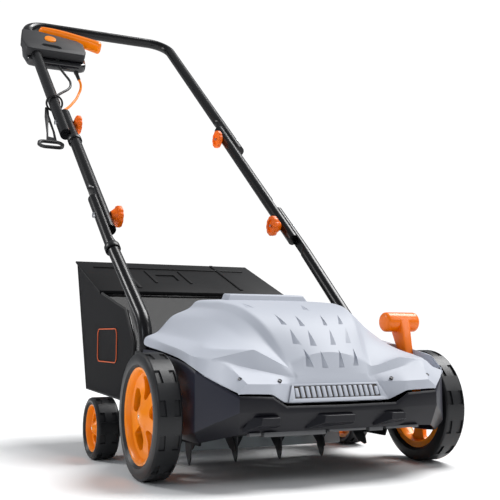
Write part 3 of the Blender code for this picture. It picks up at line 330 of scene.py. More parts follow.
bridging_cable("motor_cable_upper_bend", grip(-.2140, .1250, -.0190), grip(-.2076, -.0700, -.0168),
               -.004 * ABOVE)
bridging_cable("motor_cable_lower_bend", grip(-.2076, -.3500, -.0168), grip(-.2140, -.4900, -.0170),
               -.002 * ABOVE)


def ready(name):
    """Name the piece that was just made."""
    piece = bpy.context.object
    piece.name = name
    piece.data.name = name
    return piece


def outward(piece):
    """Merge doubles and turn every face out."""
    chosen(piece)
    bpy.ops.object.mode_set(mode="EDIT")
    bpy.ops.mesh.select_all(action="SELECT")
    bpy.ops.mesh.remove_doubles(threshold=1e-6)
    bpy.ops.mesh.dissolve_degenerate(threshold=1e-7)
    bpy.ops.mesh.delete_loose()
    bpy.ops.mesh.select_all(action="SELECT")
    bpy.ops.mesh.normals_make_consistent(inside=False)
    bpy.ops.object.mode_set(mode="OBJECT")
    return piece


def smoothed(degrees):
    """Shade the chosen piece smooth, with its sharper edges left hard."""
    bpy.ops.object.shade_smooth_by_angle(angle=math.radians(degrees))


def lathe(name, profile, centre, material, steps=48, axis=(1, 0, 0)):
    """Turned piece: a (distance, radius) profile spun about an axis through centre."""
    bpy.ops.object.select_all(action="DESELECT")
    bpy.ops.mesh.primitive_circle_add(vertices=len(profile), radius=1.0, fill_type="NOTHING")
    piece = ready(name)
    spin = Vector(axis).normalized()
    side = Vector((0, 0, 1)) if abs(spin.z) < 0.9 else Vector((0, 1, 0))
    side = (side - spin * side.dot(spin)).normalized()
    for vert, (out, radius) in zip(piece.data.vertices, profile):
        vert.co = Vector(centre) + SHIFT + spin * out + side * radius
    bpy.ops.object.mode_set(mode="EDIT")
    bpy.ops.mesh.select_all(action="SELECT")
    bpy.ops.mesh.spin(steps=steps, angle=math.tau, center=Vector(centre) + SHIFT, axis=spin)
    bpy.ops.object.mode_set(mode="OBJECT")
    outward(piece)
    piece.data.materials.append(material)
    smoothed(32)
    return piece


def blank(name, outline, place, low, high, material, bevel=0.0, steps=2, smooth=30):
    """Piece cut to an outline and pulled to its thickness, its edges eased."""
    bpy.ops.object.select_all(action="DESELECT")
    bpy.ops.mesh.primitive_circle_add(vertices=len(outline), radius=1.0, fill_type="NGON")
    piece = ready(name)
    for vert, (a, b) in zip(piece.data.vertices, outline):
        vert.co = place(a, b, low) + SHIFT
    bpy.ops.object.mode_set(mode="EDIT")
    bpy.ops.mesh.select_all(action="SELECT")
    bpy.ops.mesh.extrude_region_move(
        TRANSFORM_OT_translate={"value": place(0, 0, high) - place(0, 0, low)})
    bpy.ops.object.mode_set(mode="OBJECT")
    outward(piece)
    if bevel:
        ease(piece, bevel, steps)
    piece.data.materials.append(material)
    smoothed(smooth)
    return piece


def apply_all(piece):
    """Apply the piece's modifiers in order."""
    chosen(piece)
    for step in list(piece.modifiers):
        bpy.ops.object.modifier_apply(modifier=step.name)
    return piece


def ease(piece, width, steps=2, angle=28):
    """Rounded edges, as a mould or a press leaves them."""
    edge = piece.modifiers.new("eased", "BEVEL")
    edge.width = width
    edge.segments = steps
    edge.limit_method = "ANGLE"
    edge.angle_limit = math.radians(angle)
    edge.use_clamp_overlap = True
    return apply_all(piece)


def spans(piece):
    """The mesh's own size along each axis."""
    return [max((vert.co[axis] for vert in piece.data.vertices), default=0.0)
            - min((vert.co[axis] for vert in piece.data.vertices), default=0.0)
            for axis in range(3)]


def bulk(piece):
    """Volume inside the mesh."""
    total = 0.0
    piece.data.calc_loop_triangles()
    for triangle in piece.data.loop_triangles:
        a, b, c = (piece.data.vertices[i].co for i in triangle.vertices)
        total += a.dot(b.cross(c)) / 6.0
    return abs(total)


def carve(piece, cutters, operation="DIFFERENCE", solver="EXACT"):
    """Cut shapes away from the piece, or weld them on. No cut here takes off half the piece
    or shortens it: one that does has failed, and is made again with the other solver."""
    for cutter in cutters:
        whole, size, volume = piece.data.copy(), spans(piece), bulk(piece)
        for attempt in (solver, "MANIFOLD", "EXACT"):
            step = piece.modifiers.new("carved", "BOOLEAN")
            step.operation = operation
            step.solver = attempt
            step.object = cutter
            apply_all(piece)
            if (len(piece.data.polygons) != len(whole.polygons)
                    and all(now > .98 * was for now, was in zip(spans(piece), size))
                    and bulk(piece) > .5 * volume):
                break
            piece.data = whole.copy()
        bpy.data.objects.remove(cutter, do_unlink=True)
    return piece


def gathered(name, pieces):
    """Join pieces into one object."""
    chosen(*pieces)
    if len(pieces) > 1:
        bpy.ops.object.join()
    return ready(name)


def side_on(y, z, x):
    return Vector((x, y, z))


def front_on(x, z, y):
    return Vector((x, y, z))


def top_on(x, y, z):
    return Vector((x, y, z))


black_moulding = Shader("black_moulding", (0.0085, 0.0085, 0.0095), 0.38, shine=0.35)
black_moulding.grain(700.0, 0.10, 0.0004, 3.0)
inlet_black = Shader("inlet_black", (0.013, 0.013, 0.014), 0.35)
relief_start, relief_end = grip(-.1162, .4190, -.0150), grip(-.1010, .3890, -.0420)
relief_axis = (relief_end - relief_start).normalized()
relief_length = (relief_end - relief_start).length
relief = lathe("strain_relief",
               [(-.004, .0002), (-.004, .0085), (.004, .0085), (.0045, .0066), (.010, .0066),
                (.0105, .0072), (.0135, .0071), (.014, .0062), (.020, .0060), (.0205, .0066),
                (.0235, .0065), (.024, .0056), (relief_length, .0046), (relief_length, .0002)],
               relief_start, black_moulding.material, 24, relief_axis)
fixed(relief, "upper_handle", "black_plastic", "cord_relief")
gland_start, gland_end = grip(-.1623, .4210, -.0095), grip(-.1590, .4080, -.0150)
gland_length = (gland_end - gland_start).length
gland = lathe("motor_cable_gland", [(-.004, .0002), (-.004, .0080), (.004, .0080), (.005, .0062),
                                    (gland_length, .0045), (gland_length, .0002)],
              gland_start, black_moulding.material, 24, gland_end - gland_start)
fixed(gland, "upper_handle", "black_plastic", "cable_gland")
plug = lathe("inlet_plug_body",
             [(-.060, .0002), (-.060, .0096), (-.058, .0108), (-.020, .0109), (-.018, .0094),
              (-.0165, .0094), (-.0145, .0102), (-.006, .0072), (.0, .0050), (.0, .0002)],
             grip(-.2030, .1100, -.0300), inlet_black.material, 32, ALONG)
fixed(plug, "upper_handle", "black_plastic", "inlet_plug")
lead_points[0] + SHIFT
route_length(lead_points)

# ------------------------------------------------------------------ reel, drive and housing
# A steel shaft carries sixteen pressed spring-steel knives under an arched tunnel, and a belt
# drives it. These stay as they were cut, in their own metals and plastics.
bright_steel = Shader("zinc_steel", (0.55, 0.57, 0.60), 0.32, 1.0)
bright_steel.grain(500.0, 0.06, 0.0003)
knife_steel = Shader("oiled_knife_steel", (0.045, 0.046, 0.050), 0.38, 0.7)
knife_steel.grain(260.0, 0.15, 0.0006, 4.0)
housing_black = Shader("housing_black", (0.007, 0.007, 0.008), 0.50, shine=0.3)
housing_black.grain(500.0, 0.15, 0.0005, 3.0)
motor_coat = Shader("motor_coat", (0.03, 0.03, 0.032), 0.5, 0.6)
motor_coat.grain(400.0, 0.1, 0.0004)
belt_rubber = Shader("belt_rubber", (0.02, 0.02, 0.02), 0.8)
belt_rubber.grain(600.0, 0.2, 0.0005)
plate_steel = Shader("deflector_steel", (0.36, 0.40, 0.42), 0.45, 0.8)
plate_steel.grain(300.0, 0.08, 0.0004, 3.0)


def refinish(finish, *nodes):
    """Give CAD nodes that stay visible their finish."""
    for node in nodes:
        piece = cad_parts[node]
        piece.data.materials.clear()
        piece.data.materials.append(finish.material)


refinish(bright_steel, "reel_shaft", "bearing_left", "bearing_right", "motor_pulley",
         "detent_plate", "rear_axle", "front_axle")
refinish(knife_steel, "knife_set_1", "knife_set_2", "knife_set_3", "knife_set_4")
refinish(housing_black, "reel_housing", "rear_cover", "reel_pulley", "rear_flap")
refinish(motor_coat, "motor")
refinish(belt_rubber, "drive_belt")
refinish(plate_steel, "rear_deflector")

# ------------------------------------------------------------------ front bumper
# One satin black moulding wraps the nose and both flanks. Three blocks stand on its face
# and a narrow grey lip closes its lower edge.
bumper_black = Shader("bumper_black", (0.0065, 0.0065, 0.0100), 0.34, shine=0.30)
bumper_black.grain(420.0, 0.08, 0.0004, 3.0)
lip_grey = Shader("lip_grey", (0.085, 0.087, 0.092), 0.45)
lip_grey.grain(420.0, 0.10, 0.0004, 3.0)

BUMPER_PLAN = (     # x, y, lower z, middle z, top z along the right half
    (.000, -.1500, .0780, .1040, .1140), (.094, -.1500, .0780, .1040, .1150),
    (.116, -.1500, .0780, .1070, .1285), (.169, -.1495, .0760, .1080, .1310),
    (.192, -.1290, .0700, .0950, .1470), (.2175, -.1010, .0620, .0780, .1650),
    (.218, -.0650, .0600, .0720, .1740), (.218, -.0300, .0600, .0720, .1795),
    (.218, .0150, .0600, .0720, .1845), (.218, .0700, .0600, .0720, .1905),
    (.218, .1350, .0600, .0720, .1930))
CORNER_X, CORNER_WIDE = .150, .065      # where the nose turns into the flanks
NOSE_Y, FLANK_Y = -.149, -.100


def wall_strip(name, plan, levels, thickness, material, bevel):
    """Upright wall that follows a plan, with one row of points for each level."""
    bpy.ops.object.select_all(action="DESELECT")
    full = [(-x, y, *rest) for x, y, *rest in reversed(plan[1:])] + list(plan)
    bpy.ops.mesh.primitive_grid_add(x_subdivisions=len(full) - 1, y_subdivisions=len(levels) - 1,
                                    size=1.0)
    piece = ready(name)
    across = len(full)
    for i, vert in enumerate(piece.data.vertices):
        row, column = divmod(i, across)
        x, y, *heights = full[column]
        inset, z = levels[row](x, y, heights)
        sideways = min(1.0, max(0.0, (abs(x) - CORNER_X) / CORNER_WIDE))
        forwards = -1.0 if y < NOSE_Y else (-.75 if y < FLANK_Y else 0.0)
        outward_way = Vector((math.copysign(sideways, x), forwards, 0.0))
        if outward_way.length:
            outward_way.normalize()
        vert.co = Vector((x, y, z)) - outward_way * inset + SHIFT
    wall = piece.modifiers.new("wall", "SOLIDIFY")
    wall.thickness = thickness
    wall.offset = -1.0
    facing = sum(face.normal.y for face in piece.data.polygons if abs(face.normal.y) > .5)
    if facing > 0:      # the nose has to face forwards, which is -Y
        piece.data.flip_normals()
    apply_all(piece)
    outward(piece)
    ease(piece, bevel, 2, 12)
    piece.data.materials.append(material)
    smoothed(30)
    return piece


bumper = wall_strip("bumper_shell", BUMPER_PLAN,
                    [lambda x, y, h: (.0125 if abs(x) > .11 else .0085, h[0]),
                     lambda x, y, h: (.0, h[1]), lambda x, y, h: (.0004, h[2] - .004),
                     lambda x, y, h: (.0020, h[2])], 0.0035, bumper_black.material, 0.0007)
blocks = []
for middle, half in ((-.127, .021), (-.014, .032), (.089, .019)):
    outline = [(middle - half, .0850), (middle + half, .0850), (middle + half, .1020),
               (middle - half, .1020)]
    block = blank("block", outline, front_on, -.1440, -.1590, bumper_black.material)
    for vert in block.data.vertices:
        if vert.co.y - SHIFT.y < -.155:
            near_left = vert.co.x - SHIFT.x < middle
            vert.co.x += .0090 if near_left else -.0040
            vert.co.z += .0050 if vert.co.z < .09 else -.0020
        elif vert.co.x - SHIFT.x < middle and vert.co.z < .09:
            vert.co.x -= .0180
            vert.co.z -= .0050
    blocks.append(ease(block, .0007))
# Flank faces, picked by which way they face, get a navy tint: painted reflection on the same satin
# black moulding.
flank_painted_reflection = Shader("flank_painted_reflection", (0.019, 0.020, 0.032), 0.40, shine=0.3)
flank_painted_reflection.grain(420.0, 0.08, 0.0004, 3.0)
bumper.data.materials.append(flank_painted_reflection.material)
for face in bumper.data.polygons:
    spot = face.center - SHIFT
    if abs(spot.x) > .166 and abs(face.normal.x) > .25 and face.normal.z > -.12:
        face.material_index = 1
bumper = gathered("bumper_shell", [bumper, *blocks])
fixed(bumper, "chassis", "black_plastic", "front_bumper")

LIP_RUNS = ((-.150, -.132, .002), (-.127, -.026, .0), (-.020, .044, .003), (.050, .074, .001),
            (.080, .140, .003))      # left end, right end, how much the run is notched up
LIP_LOW, LIP_HIGH = .0715, .0785
lips = []
for x0, x1, rise in LIP_RUNS:
    outline = [(x0, LIP_LOW + rise), (x1, LIP_LOW + rise), (x1, LIP_HIGH), (x0, LIP_HIGH)]
    lips.append(blank("lip", outline, front_on, -.1410, -.1300, lip_grey.material, .0008))
fixed(gathered("bumper_lip", lips), "chassis", "black_plastic")

# ------------------------------------------------------------------ hood
# The grey cover is one large injection moulding, about three millimetres thick, with a
# domed shield down its middle, two swept ribs, a flange for its screws and a nose grille.
hood_grey = Shader("hood_grey", (0.475, 0.500, 0.560), 0.52, shine=0.35)
hood_grey.grain(520.0, 0.035, 0.0004)

HOOD_ROWS = (     # front to rear, each from the middle to the skirt's lower edge
    ((0, -.1365, .1180), (.060, -.1365, .1180), (.078, -.1365, .1180), (.092, -.1365, .1195),
     (.116, -.1460, .1320), (.152, -.1475, .1335), (.1690, -.1475, .1338)),
    ((0, -.1230, .1465), (.060, -.1230, .1465), (.070, -.1230, .1462), (.077, -.1240, .1450),
     (.114, -.1440, .1460), (.156, -.1470, .1475), (.1710, -.1460, .1365)),
    ((0, -.1180, .1600), (.061, -.1185, .1570), (.064, -.1190, .1535), (.074, -.1180, .1545),
     (.118, -.1150, .1640), (.172, -.1080, .1760), (.1930, -.1290, .1500)),
    ((0, -.1080, .1920), (.067, -.1080, .1740), (.073, -.1125, .1680), (.086, -.1130, .1740),
     (.128, -.1080, .1955), (.194, -.1000, .1810), (.2080, -.1130, .1600)),
    ((0, -.0800, .2180), (.073, -.0800, .2030), (.084, -.0800, .1940), (.117, -.0800, .1990),
     (.200, -.0830, .1965), (.2150, -.0870, .1845), (.2185, -.0920, .1700)),
    ((0, -.0490, .2400), (.084, -.0520, .2350), (.096, -.0500, .2250), (.126, -.0500, .2155),
     (.185, -.0550, .2030), (.2155, -.0620, .1900), (.2195, -.0650, .1780)),
    ((0, -.0120, .256), (.096, -.0120, .258), (.110, -.0120, .247), (.133, -.0110, .231),
     (.179, -.0200, .2065), (.214, -.0300, .195), (.2200, -.0300, .1840)),
    ((0, .0300, .2665), (.105, .0300, .2685), (.118, .0280, .257), (.141, .0250, .240),
     (.184, .0250, .211), (.215, .0200, .201), (.2200, .0150, .1890)),
    ((0, .0800, .2760), (.114, .0800, .2745), (.1265, .0850, .262), (.155, .0850, .2485),
     (.189, .0800, .2175), (.215, .0750, .208), (.2200, .0700, .1950)),
    ((0, .1450, .2800), (.118, .1430, .277), (.131, .1430, .262), (.163, .1450, .2495),
     (.190, .1390, .221), (.214, .1340, .213), (.2190, .1320, .1990)))
HOOD_DISH = {     # by row, how much lower three columns lie on the lever's side
    3: (.004, .014, .006), 4: (.006, .016, .004), 5: (.008, .018, .004),
    6: (.006, .015, .003), 7: (.002, .006, .001)}
DISHED_COLUMNS = (4, 5, 6)
HOOD_CREASE = (0.0, 0.0, .90, .95, .92, .95, 1.0, .8)      # by column, from the middle out
HOOD_ROW_CREASE = (1.0, 1.0, 1.0, 1.0, .0, .0, .0, .0, .0, 1.0)
HOOD_SCREWS = ((.097, -.132, .1500), (.1625, -.135, .1535))      # one pair on each side
SCREW_WAY = (0, -.62, .78)      # square to the flange


def hood_net():
    """The hood's outer skin as a grid, with one column on every styling line."""
    rows = []
    for number, row in enumerate(HOOD_ROWS):
        half = [Vector(place) for place in row]
        crown = half[0].lerp(half[1], 0.55)
        crown.z = half[0].z - 0.28 * (half[0].z - half[1].z)
        half.insert(1, crown)
        left = [Vector((-p.x, p.y, p.z)) for p in reversed(half[1:])]
        for column, drop in zip(DISHED_COLUMNS, HOOD_DISH.get(number, ())):
            half[column].z -= drop
        rows.append(left + half)
    return rows


net = hood_net()
bpy.ops.object.select_all(action="DESELECT")
bpy.ops.mesh.primitive_grid_add(x_subdivisions=len(net[0]) - 1, y_subdivisions=len(net) - 1)
hood = ready("hood_cover")
columns = len(net[0])
for i, vert in enumerate(hood.data.vertices):
    vert.co = net[i // columns][i % columns] + SHIFT
crease = hood.data.attributes.new("crease_edge", "FLOAT", "EDGE")
for edge in hood.data.edges:
    (row_a, col_a), (_, col_b) = (divmod(v, columns) for v in edge.vertices)
    from_middle = abs(col_a - columns // 2)
    rearward = max(0.0, 1.0 - .16 * max(0, row_a - 4))
    crease.data[edge.index].value = (HOOD_CREASE[from_middle] * rearward if col_a == col_b
                                     else HOOD_ROW_CREASE[row_a])
if sum(face.normal.z for face in hood.data.polygons) < 0:
    hood.data.flip_normals()
finer = hood.modifiers.new("finer", "SUBSURF")
finer.levels = finer.render_levels = 3
apply_all(hood)
NOTCHES = (     # top, lower left and lower right of each notch in the shield
    ((-.0387, -.0978, .1950), (-.0429, -.1136, .1692), (-.0306, -.1149, .1677)),
    ((-.0143, -.1054, .1921), (-.0159, -.1155, .1669), (-.0051, -.1158, .1663)),
    ((.0196, -.1029, .1938), (.0132, -.1155, .1670), (.0233, -.1154, .1669)),
    ((.0522, -.0928, .1962), (.0393, -.1138, .1693), (.0492, -.1131, .1691)),
    ((-.0443, -.0634, .2264), (-.0509, -.0867, .2030), (-.0392, -.0910, .2016)),
    ((-.0153, -.0685, .2246), (-.0253, -.0954, .2000), (-.0145, -.0974, .1996)),
    ((.0256, -.0658, .2262), (.0102, -.0962, .2009), (.0209, -.0952, .2009)),
    ((.0591, -.0590, .2284), (.0422, -.0884, .2035), (.0538, -.0854, .2034)),
    ((-.0523, -.0259, .2495), (-.0539, -.0542, .2328), (-.0450, -.0563, .2319)),
    ((-.0175, -.0303, .2477), (-.0243, -.0602, .2304), (-.0154, -.0613, .2300)),
    ((.0304, -.0275, .2489), (.0194, -.0588, .2316), (.0269, -.0590, .2311)),
    ((.0647, -.0253, .2498), (.0503, -.0538, .2334), (.0592, -.0528, .2334)),
    ((-.0817, .0386, .2686), (-.0893, .0007, .2601), (-.0742, -.0008, .2593)),
    ((.0279, .0339, .2671), (.0135, -.0020, .2582), (.0226, -.0081, .2563)))


def notch(top, low_left, low_right, depth=.0048):
    """Wedge that is deep along its upright left side and runs out to the right."""
    top, low_left, low_right = Vector(top), Vector(low_left), Vector(low_right)
    out = (low_right - low_left).cross(top - low_left).normalized()
    bpy.ops.object.select_all(action="DESELECT")
    bpy.ops.mesh.primitive_cylinder_add(vertices=3, radius=1.0, depth=1.0)
    wedge = ready("notch")
    high = sorted((v for v in wedge.data.vertices if v.co.z > 0), key=lambda v: (v.co.x, v.co.y))
    low = sorted((v for v in wedge.data.vertices if v.co.z < 0), key=lambda v: (v.co.x, v.co.y))
    for ring, lift in ((high, (.012, .012, .012)), (low, (.0002, -depth, .0002))):
        for vert, spot, rise in zip(ring, (top, low_left, low_right), lift):
            vert.co = spot + out * rise + SHIFT
    return outward(wedge)


# The skin is closed below for the cuts, then opened again and given its wall.
BELOW = 0.02
chosen(hood)
bpy.ops.object.mode_set(mode="EDIT")
bpy.ops.mesh.select_mode(type="EDGE")
bpy.ops.mesh.select_all(action="DESELECT")
bpy.ops.mesh.select_non_manifold()
bpy.ops.mesh.extrude_region_move(TRANSFORM_OT_translate={"value": (0, 0, -.3)})
bpy.ops.object.mode_set(mode="OBJECT")
for vert in hood.data.vertices:
    if vert.co.z < .06:
        vert.co.z = BELOW
bpy.ops.object.mode_set(mode="EDIT")
bpy.ops.mesh.edge_face_add()
bpy.ops.mesh.select_all(action="SELECT")
bpy.ops.mesh.normals_make_consistent(inside=False)
bpy.ops.object.mode_set(mode="OBJECT")
cutters = [notch(*corners) for corners in NOTCHES]
SINK = [(-.0020, .0002), (-.0020, .0030), (.012, .0030), (.012, .0002)]
for side in (-1, 1):        # countersinks for the flange's screws
    for x, y, z in HOOD_SCREWS:
        cutters.append(lathe("sink", SINK, (side * x, y, z), hood_grey.material, 14, SCREW_WAY))
carve(hood, [gathered("cuts", cutters)])
carve(hood, [blank("pocket", [(.1830, -.1000), (.1900, -.1130), (.2125, -.1130), (.2125, .0160),
                              (.1870, .0160), (.1830, .0080)], top_on, .1560, .27,
                   hood_grey.material, .0030, 3)])
carve(hood, [blank("slot", [(.1960, -.0660), (.2110, -.0660), (.2110, .0100), (.1960, .0100)],
                   top_on, .0, .27, hood_grey.material)])
bpy.ops.object.mode_set(mode="EDIT")
bpy.ops.mesh.select_mode(type="VERT")
bpy.ops.mesh.select_all(action="DESELECT")
bpy.ops.object.mode_set(mode="OBJECT")
for vert in hood.data.vertices:
    vert.select = vert.co.z < BELOW + .001
bpy.ops.object.mode_set(mode="EDIT")
bpy.ops.mesh.delete(type="VERT")
bpy.ops.object.mode_set(mode="OBJECT")
wall = hood.modifiers.new("wall", "SOLIDIFY")
wall.thickness = 0.0028
wall.offset = -1.0
apply_all(hood)
hood.data.materials.clear()
hood.data.materials.append(hood_grey.material)
smoothed(24)
rear_panel = blank("rear_panel", [(-.0860, .0900), (.0860, .0900), (.0790, .1445), (-.0790, .1445)],
                   top_on, .2600, .2895, hood_grey.material)
for vert in rear_panel.data.vertices:
    if vert.co.z > .28:
        vert.co.x = SHIFT.x + (vert.co.x - SHIFT.x) * .84
        if vert.co.y - SHIFT.y < .12:
            vert.co.y += .0130
            vert.co.z -= .0030
ease(rear_panel, .0025, 3)
hood = gathered("hood_cover", [hood, rear_panel])
smoothed(24)
fixed(hood, "chassis", "hood_grey", "hood")

# ------------------------------------------------------------------ nose grille
# The grille is part of the same grey moulding: upright slats across a sloped frame, with
# a dark brown sheet behind them as painted shade for the machine's inside.
shadow_brown = Shader("grille_painted_shade", (0.10, 0.085, 0.075), 0.8)
shadow_brown.grain(300.0, 0.1, 0.0004)


def sloped(x, up, out):
    """Point on the nose's slope: up it from its foot, and out from its face."""
    foot, head = Vector((0, -.1372, .1185)), Vector((0, -.1235, .1465))
    rise = (head - foot).normalized()
    face = Vector((0, -rise.z, rise.y))
    return Vector((x, foot.y, foot.z)) + rise * up + face * out


slats = []
for i in range(16):
    x = -.0690 + i * .1380 / 15
    crown = .0012 if i in (0, 15) else 0.0
    outline = [(x - .0031, .0062 + crown), (x + .0031, .0062 + crown),
               (x + .0031, .0238 - 2 * crown), (x - .0031, .0238 - 2 * crown)]
    slats.append(blank("slat", outline, sloped, .0001, .0030, hood_grey.material, .0018, 3))
for outline in ([(-.0865, -.0010), (.0865, -.0010), (.0800, .0052), (-.0800, .0052)],
                [(-.0765, .0250), (.0765, .0250), (.0745, .0280), (-.0745, .0280)],
                [(-.0865, -.0010), (-.0740, .0052), (-.0720, .0250), (-.0745, .0280)],
                [(.0865, -.0010), (.0740, .0052), (.0720, .0250), (.0745, .0280)]):
    slats.append(blank("frame", outline, sloped, .0, .0026, hood_grey.material, .0008, 2))
fixed(gathered("grille_slats", slats), "chassis", "hood_grey", "vent_grille")
# Painted shade: a dark brown sheet behind the slats stands in for the shaded inside of the machine.
backing = blank("grille_shadow", [(-.0750, .0048), (.0750, .0048), (.0735, .0255), (-.0735, .0255)],
                sloped, -.0006, .0006, shadow_brown.material)
fixed(backing, "chassis", "black_plastic")

# ------------------------------------------------------------------ hood screws
# Black countersunk screws hold the flange down to the chassis.
screw_black = Shader("screw_black", (0.03, 0.03, 0.034), 0.4, 0.3)
screw_black.grain(500.0, 0.1, 0.0003)
SCREW_HEAD = [(-.002, .0002), (-.002, .0030), (.0012, .0030), (.0006, .0016), (.0006, .0002)]
screws = []
for x, y, z in HOOD_SCREWS:
    for side in (-1, 1):
        screws.append(lathe("screw", SCREW_HEAD, (side * x, y, z), screw_black.material, 14,
                            SCREW_WAY))
fixed(gathered("hood_screws", screws), "chassis", "bright_steel")

# ------------------------------------------------------------------ handle brackets
# Black blocks behind the front wheels hold the handle's feet and the rear axle.
BRACKET = ((.1358, .090), (.1358, .190), (.1675, .190), (.1780, .120), (.2680, .078),
           (.2680, .038), (.2350, .036))
for side, word in ((-1, "left"), (1, "right")):
    bracket = blank("bracket_" + word, BRACKET, side_on, side * .1735, side * .2215,
                    black_moulding.material, .003, 3)
    foot = lathe("socket", [(-.01, .0002), (-.01, .01205), (.12, .01205), (.12, .0002)],
                 (side * .207, .1515, .105), black_moulding.material, 24, (0, 0, 1))
    hole = lathe("hole", [(-.05, .0002), (-.05, .0053), (.05, .0053), (.05, .0002)],
                 (side * .2, .252, .0535), black_moulding.material, 20)
    carve(bracket, [foot, hole])
    smoothed(30)
    fixed(bracket, "chassis", "black_plastic", "handle_bracket_" + word)

# ------------------------------------------------------------------ wheels
# Black rubber-like tyres with pairs of shallow pockets round a plain middle rib, on
# glossy orange dished rims with five swept spokes and see-through windows.
tyre_black = Shader("tyre_black", (0.0095, 0.010, 0.0115), 0.40, shine=0.35)
tyre_black.grain(380.0, 0.12, 0.0005, 3.0)
rim_orange = Shader("rim_orange", (1.0, 0.275, 0.0), 0.30, shine=0.35)
rim_orange.grain(300.0, 0.03, 0.0004)


def moulded_tyre(name, radius, width, seat, x, y, pockets, depth):
    """Tyre whose shoulders carry pockets: a fine grid rolled into a ring."""
    half = width / 2
    shoulder = [(-half * .78, seat), (-half * .97, seat + .004), (-half, radius * .91),
                (-half * .90, radius * .975), (-half * .80, radius * .995)]
    crown = [(-half * .72, radius), (-half * .71, radius), (-half * .30, radius),
             (-half * .29, radius), (-half * .16, radius), (half * .16, radius),
             (half * .29, radius), (half * .30, radius), (half * .71, radius), (half * .72, radius)]
    profile = shoulder + crown + [(-a, r) for a, r in reversed(shoulder)]
    steps = [0.0, .13, .15, .36, .58, .60, .80]
    around = len(steps) * pockets
    bpy.ops.object.select_all(action="DESELECT")
    bpy.ops.mesh.primitive_grid_add(x_subdivisions=len(profile) - 1, y_subdivisions=around)
    piece = ready(name)
    across = len(profile)
    for i, vert in enumerate(piece.data.vertices):
        ring, column = divmod(i, across)
        sector, part = divmod(ring, len(steps))
        angle = math.tau * (sector + steps[part]) / pockets
        out, r = profile[column]
        sunk = 2 <= part <= 4 and column in (6, 7, 12, 13)
        if column in (7, 8, 11, 12):
            out *= 1.0 + .55 * (steps[part] - .36)
        if sunk:
            r -= depth
        vert.co = Vector((x + out, y + r * math.sin(angle), radius + r * math.cos(angle))) + SHIFT
    outward(piece)
    piece.data.materials.append(tyre_black.material)
    bpy.ops.object.mode_set(mode="EDIT")
    bpy.ops.mesh.select_all(action="DESELECT")
    bpy.ops.mesh.select_non_manifold()
    bpy.ops.mesh.bridge_edge_loops()
    bpy.ops.mesh.select_all(action="SELECT")
    bpy.ops.mesh.normals_make_consistent(inside=False)
    bpy.ops.object.mode_set(mode="OBJECT")
    smoothed(26)
    return piece


RIM_SEAT = .0728      # radius of the seat that the rim's sizes are drawn for
RIM_WINDOW = ((.0265, 13.0), (.0243, 5.0), (.0243, -7.0), (.0290, -17.0), (.0404, -21.5),
              (.0543, -23.0), (.0590, -21.0), (.0600, -15.0), (.0600, 0.0), (.0600, 13.0),
              (.0585, 18.0), (.0530, 20.0), (.0404, 18.5))      # radius, degrees


def swept_rim(name, radius, seat, side, x, y):
    """Dished disc with five rounded windows between broad spokes, a barrel and a domed hub."""
    k = seat / RIM_SEAT
    lip = [(side * a, r) for a, r in ((.0165, seat), (.0165, seat - .0030 * k),
                                      (.0150, seat - .0052 * k), (.0075, seat - .0085 * k),
                                      (.0035, .0540 * k), (.0040, .0400 * k), (.0085, .0240 * k),
                                      (.0120, .0170 * k), (.0150, .0125 * k), (.0165, .0060 * k),
                                      (.0168, .0002))]
    inside = [(side * a, r) for a, r in ((.0100, .0002), (.0100, .0053), (-.0150, .0053),
                                         (-.0150, .0110 * k), (.0020, .0150 * k),
                                         (-.0020, .0260 * k), (-.0045, .0400 * k),
                                         (-.0045, seat - .0130 * k), (-.0150, seat - .0100 * k),
                                         (-.0150, seat))]
    rim = lathe(name, lip + inside, (x, y, radius), rim_orange.material, 80)
    windows = []
    for i in range(5):
        turn = math.radians(97.3 + 72 * i)
        outline = []
        for r, spread in RIM_WINDOW:
            angle = turn + math.radians(spread)
            outline.append((y + r * k * math.cos(angle), radius + r * k * math.sin(angle)))
        windows.append(blank("window", outline, side_on, x - .03, x + .03, rim_orange.material,
                             .0030 * k, 3))
    carve(rim, windows, solver="MANIFOLD")
    ease(rim, .0009 * k, 2, 50)
    smoothed(32)
    return rim


axle_cap = Shader("axle_cap", (0.80, 0.72, 0.60), 0.2, 0.8)
axle_cap.grain(300.0, 0.05, 0.0003)
for side, word in ((-1, "left"), (1, "right")):
    for place, radius, width, seat, x, y, body, pockets in (
            ("front", .095, .042, .0731, side * .2505, 0.0, "front_%s_wheel", 12),
            ("rear", .0535, .0407, .0411, side * .2542, .252, "rear_%s_wheel", 9)):
        tyre = moulded_tyre("tyre_%s_%s_tread" % (place, word), radius, width, seat, x, y,
                            pockets, .0026)
        fixed(tyre, body % word, "tyre_rubber", "tyre_%s_%s" % (place, word))
        rim = swept_rim("rim_%s_%s_spokes" % (place, word), radius, seat - .0003, side, x, y)
        fixed(rim, body % word, "orange_plastic", "rim_%s_%s" % (place, word))
        cap = lathe("cap_%s_%s" % (place, word), [(side * .0150, .0002), (side * .0150, .0030),
                                                  (side * .0172, .0024), (side * .0176, .0002)],
                    (x, y, radius), axle_cap.material, 20)
        fixed(cap, body % word, "bright_steel")

# ------------------------------------------------------------------ height lever
# An orange T-shaped moulding clamped on the cranked axle; it stands out of a pocket.
lever_orange = Shader("lever_orange", (1.0, 0.190, 0.0), 0.32, 0.0, 0.1, 0.35)
lever_orange.grain(420.0, 0.05, 0.0004)
lever_grip = lathe("grip", [(-.0330, .0002), (-.0330, .0125), (-.0322, .0145), (-.0298, .0165),
                            (-.0270, .0170), (.0270, .0170), (.0298, .0165), (.0322, .0145),
                            (.0330, .0125), (.0330, .0002)], (.206, 0.0, .2385),
                   lever_orange.material, 40)
lever_foot, lever_top = Vector((-.040, .118)), Vector((.0, .2385))
lean = (lever_top - lever_foot).normalized()
wide = Vector((-lean.y, lean.x))
outline = [lever_foot + .0090 * wide, lever_foot - .0090 * wide,
           lever_top - .045 * lean - .0125 * wide, lever_top - .0175 * wide,
           lever_top + .0175 * wide, lever_top - .045 * lean + .0125 * wide]
